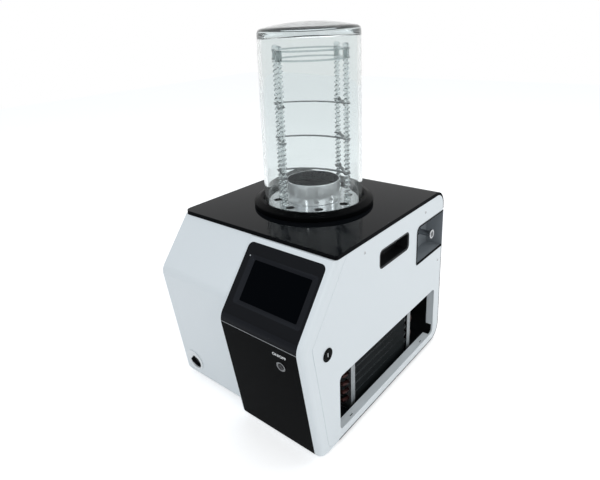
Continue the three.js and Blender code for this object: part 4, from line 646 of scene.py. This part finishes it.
# ---------------------------------------------------------------- drain
# A white moulded collar with a black valve set back in its round mouth, and a small flap across one side
# of the mouth to turn the valve with.
# injection-moulded ABS: smooth and slightly warm
white_moulding = surface("white_abs_moulding", "E4E8EA", 0.35, spread=0.05, grain=0.8, bump=0.004)
dress("drain_collar", white_moulding, 0.4)
dress("drain_valve", black_moulding)
dress("drain_hose", white_moulding)
COLLAR_DEPTH, COLLAR_LIP = 18.0, 2.0  # behind and in front of the shell's face
MOUTH_MIDDLE, MOUTH_RADIUS, LIP_RADIUS = (3.0, -4.0), 18.7, 22.0
FLAP_FROM, FLAP_TURN = 15.5, math.radians(139)
shell_lean = np.array([0, -0.2083, 0.9781])  # up the plain half's lower face
collar_out = np.cross((1, 0, 0), shell_lean)
collar_face = box_and_middle("drain_collar")[2] - collar_out * (COLLAR_LIP - COLLAR_DEPTH) / 2
# the flap is the part of the lip's disc that lies beyond a straight edge
swing = math.acos(FLAP_FROM / LIP_RADIUS) * np.linspace(-1, 1, 16) + FLAP_TURN
flap_outline = np.c_[MOUTH_MIDDLE[0] + LIP_RADIUS * np.cos(swing), MOUTH_MIDDLE[1] + LIP_RADIUS * np.sin(swing)]
flap = prism("drain_flap", flap_outline, seat(collar_face, (1, 0, 0), shell_lean, collar_out), 0.3, 1.6)
settle(flap, white_moulding, "white_plastic", bevel=0.4)
# a black flanged sleeve lines the mouth down to the valve
mouth_middle = collar_face + MOUTH_MIDDLE[0] * np.array((1.0, 0, 0)) + MOUTH_MIDDLE[1] * shell_lean
sleeve = turned("drain_mouth_sleeve", rounded([
    (MOUTH_RADIUS - 0.9, -10), (MOUTH_RADIUS - 0.1, -10), (MOUTH_RADIUS - 0.1, 0.05),
    (LIP_RADIUS, 0.05), (LIP_RADIUS - 0.4, 0.6, 0.3), (MOUTH_RADIUS - 0.9, 0.6, 0.4)], 2),
    seat(mouth_middle, (1, 0, 0), shell_lean, collar_out), 64)
settle(sleeve, black_moulding, "black_plastic")

# ---------------------------------------------------------------- top plate
# A thick steel plate, bent down at the rear and baked in gloss black; its cut edges get a darker, matt black:
# painted shade.
# stove enamel: a near mirror with a faint long wave
gloss_black = surface("black_gloss_stove_enamel", "0C0E11", 0.05, gloss=0.045, spread=0.02, grain=14,
                      bump=0.002)
# painted shade: the plate's cut edges in a darker, matt black
matt_black = surface("black_edge_painted_shade", "08090B", 0.6, gloss=0.02, spread=0.05, grain=1)
plate = tidy("gloss_top_plate", frame["nodes"]["top_cover"].data.copy())
plate.data.materials.clear()
plate.data.materials.append(gloss_black)
settle(plate, matt_black, "black_gloss_plate", "top_cover", bevel=0.9)
facing = np.empty(len(plate.data.polygons) * 3)
plate.data.polygons.foreach_get("normal", facing)
facing = facing.reshape(-1, 3)
EDGE_TURN, MATT_SLOT = 0.4, 1  # how far a cut edge's normal points sideways or forwards at least
cut_edge = (np.abs(facing[:, 0]) > EDGE_TURN) | (facing[:, 1] < -EDGE_TURN)
plate.data.polygons.foreach_set("material_index", cut_edge.astype(np.int32))
plate.modifiers["edge_rounding"].material = MATT_SLOT

# ---------------------------------------------------------------- cold trap
# A deep-drawn stainless well with a flange, its coil soldered round it, in a black foam jacket.
# bead-blasted stainless, dull; its colour darkened: painted shade down the well
blasted = surface("blasted_stainless_painted_shade", "6E7072", 0.5, metallic=1.0, spread=0.08, grain=0.8, bump=0.003)
dress("cold_trap", blasted)
# closed-cell foam: matt, faintly pitted
dress("trap_jacket", surface("black_insulation_foam", "1C1C1D", 0.9, spread=0.05, grain=3, bump=0.3))
dress("evaporator_coil", copper)

# ---------------------------------------------------------------- seal ring
# A thick moulded rubber ring sits in the plate's hole: an upright outer wall, a broad sloping shoulder and
# a groove inside the crest that the bell stands in.
seal_rubber = surface("black_rubber_and_painted_shade", "040506", 0.36, gloss=0.02, spread=0.08, grain=2.5, bump=0.01)
bell_low, bell_high, bell_middle = box_and_middle("bell_jar")
about_bell = seat((bell_middle[0], bell_middle[1], 0))
low, high = box_mm("seal_ring")
plate_top = box_mm("top_cover")[1][2]
RING_RADIUS = (high - low)[0] / 2
RING_LEDGE, RING_SPIGOT, RING_GROOVE, RING_SEAT = 104.0, 116.5, 120.6, 7.7
RING_WALL, RING_CREST, CREST_OUTER, CREST_INNER = 11.5, 17.5, 131.0, 124.5
ring_profile = rounded([
    (RING_LEDGE, low[2], 1), (RING_SPIGOT, low[2], 1), (RING_SPIGOT, plate_top + 0.3),
    (RING_RADIUS - 0.8, plate_top + 0.3, 0.6), (RING_RADIUS, plate_top + 3, 2),
    (RING_RADIUS, plate_top + RING_WALL, 3.5), (CREST_OUTER, plate_top + RING_CREST, 4),
    (CREST_INNER, plate_top + RING_CREST, 2),
    (RING_GROOVE, plate_top + RING_CREST - 4, 1), (RING_GROOVE, plate_top + RING_SEAT, 0.5),
    (RING_LEDGE, plate_top + RING_SEAT, 1)], 6)
settle(turned("rubber_seal_ring", ring_profile, about_bell, 160), seal_rubber, "seal_rubber", "seal_ring")

# ---------------------------------------------------------------- disc and guide tube
# A stainless disc with eight round holes covers the trap, and a short rolled tube stands on it; the tube's
# inside is a darker copy of its steel, with a black lining in its lower half: painted shade down the tube.
low, high = box_mm("trap_disc")
DISC_RADIUS, DISC_BORE = (high - low)[0] / 2, 61.0
DISC_HOLES, HOLE_RADIUS, HOLE_CIRCLE, AROUND = 8, 10.0, 88.0, 64
# one sector: a strip from the hole's circle out to the sector's own edge, point for point by direction. The
# edge runs round the outside, in along one side, back round the bore and out along the other side.
half_step = math.pi / DISC_HOLES
quarter = AROUND // 4
side_way = np.array([math.cos(half_step), math.sin(half_step)])
edge_turn = np.linspace(-half_step, half_step, quarter, endpoint=False)
side_reach = np.linspace(DISC_RADIUS, DISC_BORE, quarter, endpoint=False)
edge = np.concatenate([
    np.c_[DISC_RADIUS * np.cos(edge_turn), DISC_RADIUS * np.sin(edge_turn)],
    side_reach[:, None] * side_way,
    np.c_[DISC_BORE * np.cos(-edge_turn), DISC_BORE * np.sin(-edge_turn)],
    np.linspace(DISC_BORE * side_way * (1, -1), DISC_RADIUS * side_way * (1, -1), quarter, endpoint=False)])
towards = np.arctan2(edge[:, 1], edge[:, 0] - HOLE_CIRCLE)
hole = np.c_[HOLE_CIRCLE + HOLE_RADIUS * np.cos(towards), HOLE_RADIUS * np.sin(towards)]
strip = np.linspace(0, 1, 3)[:, None, None] * (edge - hole) + hole
turn = np.arange(DISC_HOLES) * math.tau / DISC_HOLES
c, s = np.cos(turn)[:, None, None], np.sin(turn)[:, None, None]
grids = np.stack([bell_middle[0] + c * strip[..., 0] - s * strip[..., 1],
                  bell_middle[1] + s * strip[..., 0] + c * strip[..., 1],
                  high[2] + 0 * c * strip[..., 0]], axis=-1)
disc = skin("perforated_trap_disc", grids)
plate_thickness = disc.modifiers.new("sheet_thickness", "SOLIDIFY")
plate_thickness.thickness, plate_thickness.offset = (high - low)[2] * MM, -1
# ground sheet: soft streaks
ground_steel = surface("ground_stainless_sheet", "D4D6D8", 0.13, metallic=0.9, spread=0.06, grain=3, bump=0.003,
                       stretch=(0.25, 1, 1))
settle(disc, ground_steel, "stainless_steel", "trap_disc", bevel=0.25)

low, high = box_mm("guide_tube")
TUBE_WALL, TUBE_LIP = 1.5, 0.8
TUBE_RADIUS = (high - low)[0] / 2 - TUBE_LIP
TUBE_BORE = TUBE_RADIUS - TUBE_WALL
tube_profile = rounded([
    (TUBE_BORE, low[2], 0.3), (TUBE_RADIUS, low[2], 0.3), (TUBE_RADIUS, high[2] - 2.5, 1),
    (TUBE_RADIUS + TUBE_LIP, high[2] - 1.2, 0.6), (TUBE_RADIUS + 0.2, high[2], 0.5),
    (TUBE_BORE, high[2], 0.5)], 3)
# rolled sheet, brushed upwards; outside, a near-white, half-matt copy of the steel: painted light for its
# bright reflections
brushed = surface("brushed_stainless_tube_painted_light", "F2F4F6", 0.15, metallic=0.4, spread=0.04, grain=1.2, bump=0.002,
                  stretch=(1, 1, 0.1))
guide = settle(turned("rolled_guide_tube", tube_profile, about_bell, 128), brushed, "stainless_steel",
               "guide_tube")
# the inside is a darker copy of the same steel: painted shade
guide.data.materials.append(surface("tube_inside_painted_shade", "6A7276", 0.3, metallic=1.0, spread=0.08, grain=2))
FACING_IN = -20.0  # normal times way from the axis, in mm: below this a facet looks to the axis
normals = np.array([f.normal[:2] for f in guide.data.polygons])
from_axis = np.array([f.center[:2] for f in guide.data.polygons]) / MM - bell_middle[:2]
inner = (normals * from_axis).sum(axis=1) < FACING_IN
guide.data.polygons.foreach_set("material_index", inner.astype(np.int32))
# the black lining in the tube's lower half, in the seal's black material, is painted shade down inside the tube
LINING_TOP, LINING_GAP, LINING_THICK = 21.0, 0.2, 2.0
lining_outer, lining_inner = TUBE_BORE - LINING_GAP, TUBE_BORE - LINING_GAP - LINING_THICK
lining = turned("tube_painted_shade_lining", rounded([
    (lining_inner, low[2] + LINING_GAP, 0.3), (lining_outer, low[2] + LINING_GAP, 0.3),
    (lining_outer, high[2] - LINING_TOP, 0.3), (lining_inner, high[2] - LINING_TOP, 0.5)], 3), about_bell, 96)
settle(lining, seal_rubber, "seal_rubber")

# ---------------------------------------------------------------- sample rack
# Four clear posts with a coarse rounded thread, three thin steel shelves clipped to their necks, and a clear
# head. The thread breaks up what is seen through the posts.


def clear(name, tint, density, haze):
    """Clear cast acrylic: greyer the longer light travels in it, with a trace of haze from wear."""
    made = bpy.data.materials.new(name)
    made.use_nodes = True
    tree = made.node_tree
    tree.nodes.clear()
    shader = add(tree, "ShaderNodeBsdfPrincipled", {
        "Base Color": linear(tint), "Roughness": 0.0, "IOR": 1.49, "Transmission Weight": 1 - haze,
        "Specular Tint": linear("95989A")})
    depth = add(tree, "ShaderNodeVolumeAbsorption", {"Color": linear("C8D4D6"), "Density": density})
    add(tree, "ShaderNodeOutputMaterial", {"Surface": shader.outputs[0], "Volume": depth.outputs[0]})
    return made


rack_acrylic = clear("turned_clear_acrylic", "EEF0F0", 26.0, 0.04)
THREAD_PITCH, THREAD_DEPTH, POST_RADIUS, NECK_RADIUS = 11.0, 1.9, 5.6, 4.0
NECK_PAST_SHELF, FOOT_HEIGHT, FOOT_RADIUS, KNOB_HEIGHT, KNOB_RADIUS = 1.0, 5.0, 8.0, 9.0, 7.4
shelves = [box_mm(f"rack_shelf_{number}") for number in (1, 2, 3)] + [box_mm("rack_top_ring")]
for number in (1, 2, 3, 4):
    low, high, place = box_and_middle(f"rack_post_{number}")
    z = np.arange(low[2], high[2] + 0.5, 1.0)[:, None]
    t = np.linspace(0, math.tau, 20, endpoint=False)[None]
    # radius = core + depth * cos(turns climbed - angle); necks, foot and knob are plain
    r = POST_RADIUS + THREAD_DEPTH * np.cos(math.tau * z / THREAD_PITCH - t)
    for shelf_low, shelf_high in shelves:
        r = np.where((z > shelf_low[2] - NECK_PAST_SHELF) & (z < shelf_high[2] + NECK_PAST_SHELF),
                     NECK_RADIUS, r)
    r = np.where(z < low[2] + FOOT_HEIGHT, FOOT_RADIUS, r)
    # the knob on top narrows as radius * sqrt(1 - (share of its height) ** 4)
    into_knob = np.clip((z - (high[2] - KNOB_HEIGHT)) / KNOB_HEIGHT, 0, 1)
    r = np.where(into_knob > 0, KNOB_RADIUS * np.sqrt(1 - into_knob ** 4), r)
    r[0] = r[-1] = 0
    grid = np.stack([place[0] + r * np.cos(t), place[1] + r * np.sin(t), z + 0 * r], axis=-1)
    grid = np.concatenate([grid[:1], grid[1:2] * (1, 1, 0) + (0, 0, low[2]), grid[1:]])
    settle(skin(f"threaded_rack_post_{number}", grid[None]), rack_acrylic, "rack_acrylic",
           f"rack_post_{number}")
# pickled steel strip: dull dark grey
shelf_steel = surface("pickled_steel_strip", "6C7072", 0.4, metallic=1.0, spread=0.06, grain=2)
for number in (1, 2, 3):
    dress(f"rack_shelf_{number}", shelf_steel, 0.2)
dress("rack_top_ring", clear("clear_acrylic_head", "E4EAEA", 55.0, 0.12), 0.3)

# ---------------------------------------------------------------- bell jar
# A clear cast acrylic tube with a thicker domed top, its mouth polished flat where it stands on the seal.


def domed_top(radius, height, dome, shoulder, steps):
    """Half a domed top, wall to middle: the shoulder's arc, then the dome's arc that it runs into."""
    tilt = math.asin((radius - shoulder) / (dome - shoulder))
    a = np.linspace(0, math.pi / 2 - tilt, steps)
    arc_height = height - dome + (dome - shoulder) * math.cos(tilt)
    b = np.linspace(tilt, 0, 3 * steps)[1:]
    return np.concatenate([np.c_[radius - shoulder + shoulder * np.cos(a), arc_height + shoulder * np.sin(a)],
                           np.c_[dome * np.sin(b), height - dome + dome * np.cos(b)]])


BELL_TAPER, BELL_WALL, BELL_CROWN, BELL_DOME = 2.5, 8.0, 20.0, 500.0
BELL_SHOULDER, INNER_SHOULDER, MOUTH_EDGE, ABOVE_MOUTH = 13.0, 4.0, 0.5, 30.0
bell_radius = (bell_high - bell_low)[0] / 2
mouth, crown = bell_low[2], bell_high[2]
# the mouth's two rounded edges only; the points above it just give their direction
mouth_edges = rounded([
    (bell_radius - BELL_WALL, mouth + ABOVE_MOUTH), (bell_radius - BELL_WALL, mouth, MOUTH_EDGE),
    (bell_radius, mouth, MOUTH_EDGE), (bell_radius, mouth + ABOVE_MOUTH)], 3)[1:-1]
top_radius = bell_radius - BELL_TAPER
bell_profile = np.concatenate([
    mouth_edges, domed_top(top_radius, crown, BELL_DOME, BELL_SHOULDER, 10),
    domed_top(top_radius - BELL_WALL, crown - BELL_CROWN, BELL_DOME, INNER_SHOULDER, 8)[::-1]])
settle(turned("acrylic_bell", bell_profile, about_bell, 144), clear("clear_cast_acrylic", "EEF2F2", 3.0, 0.025),
       "clear_acrylic", "bell_jar")

# ---------------------------------------------------------------- view transform
scene.view_settings.view_transform = "Standard"
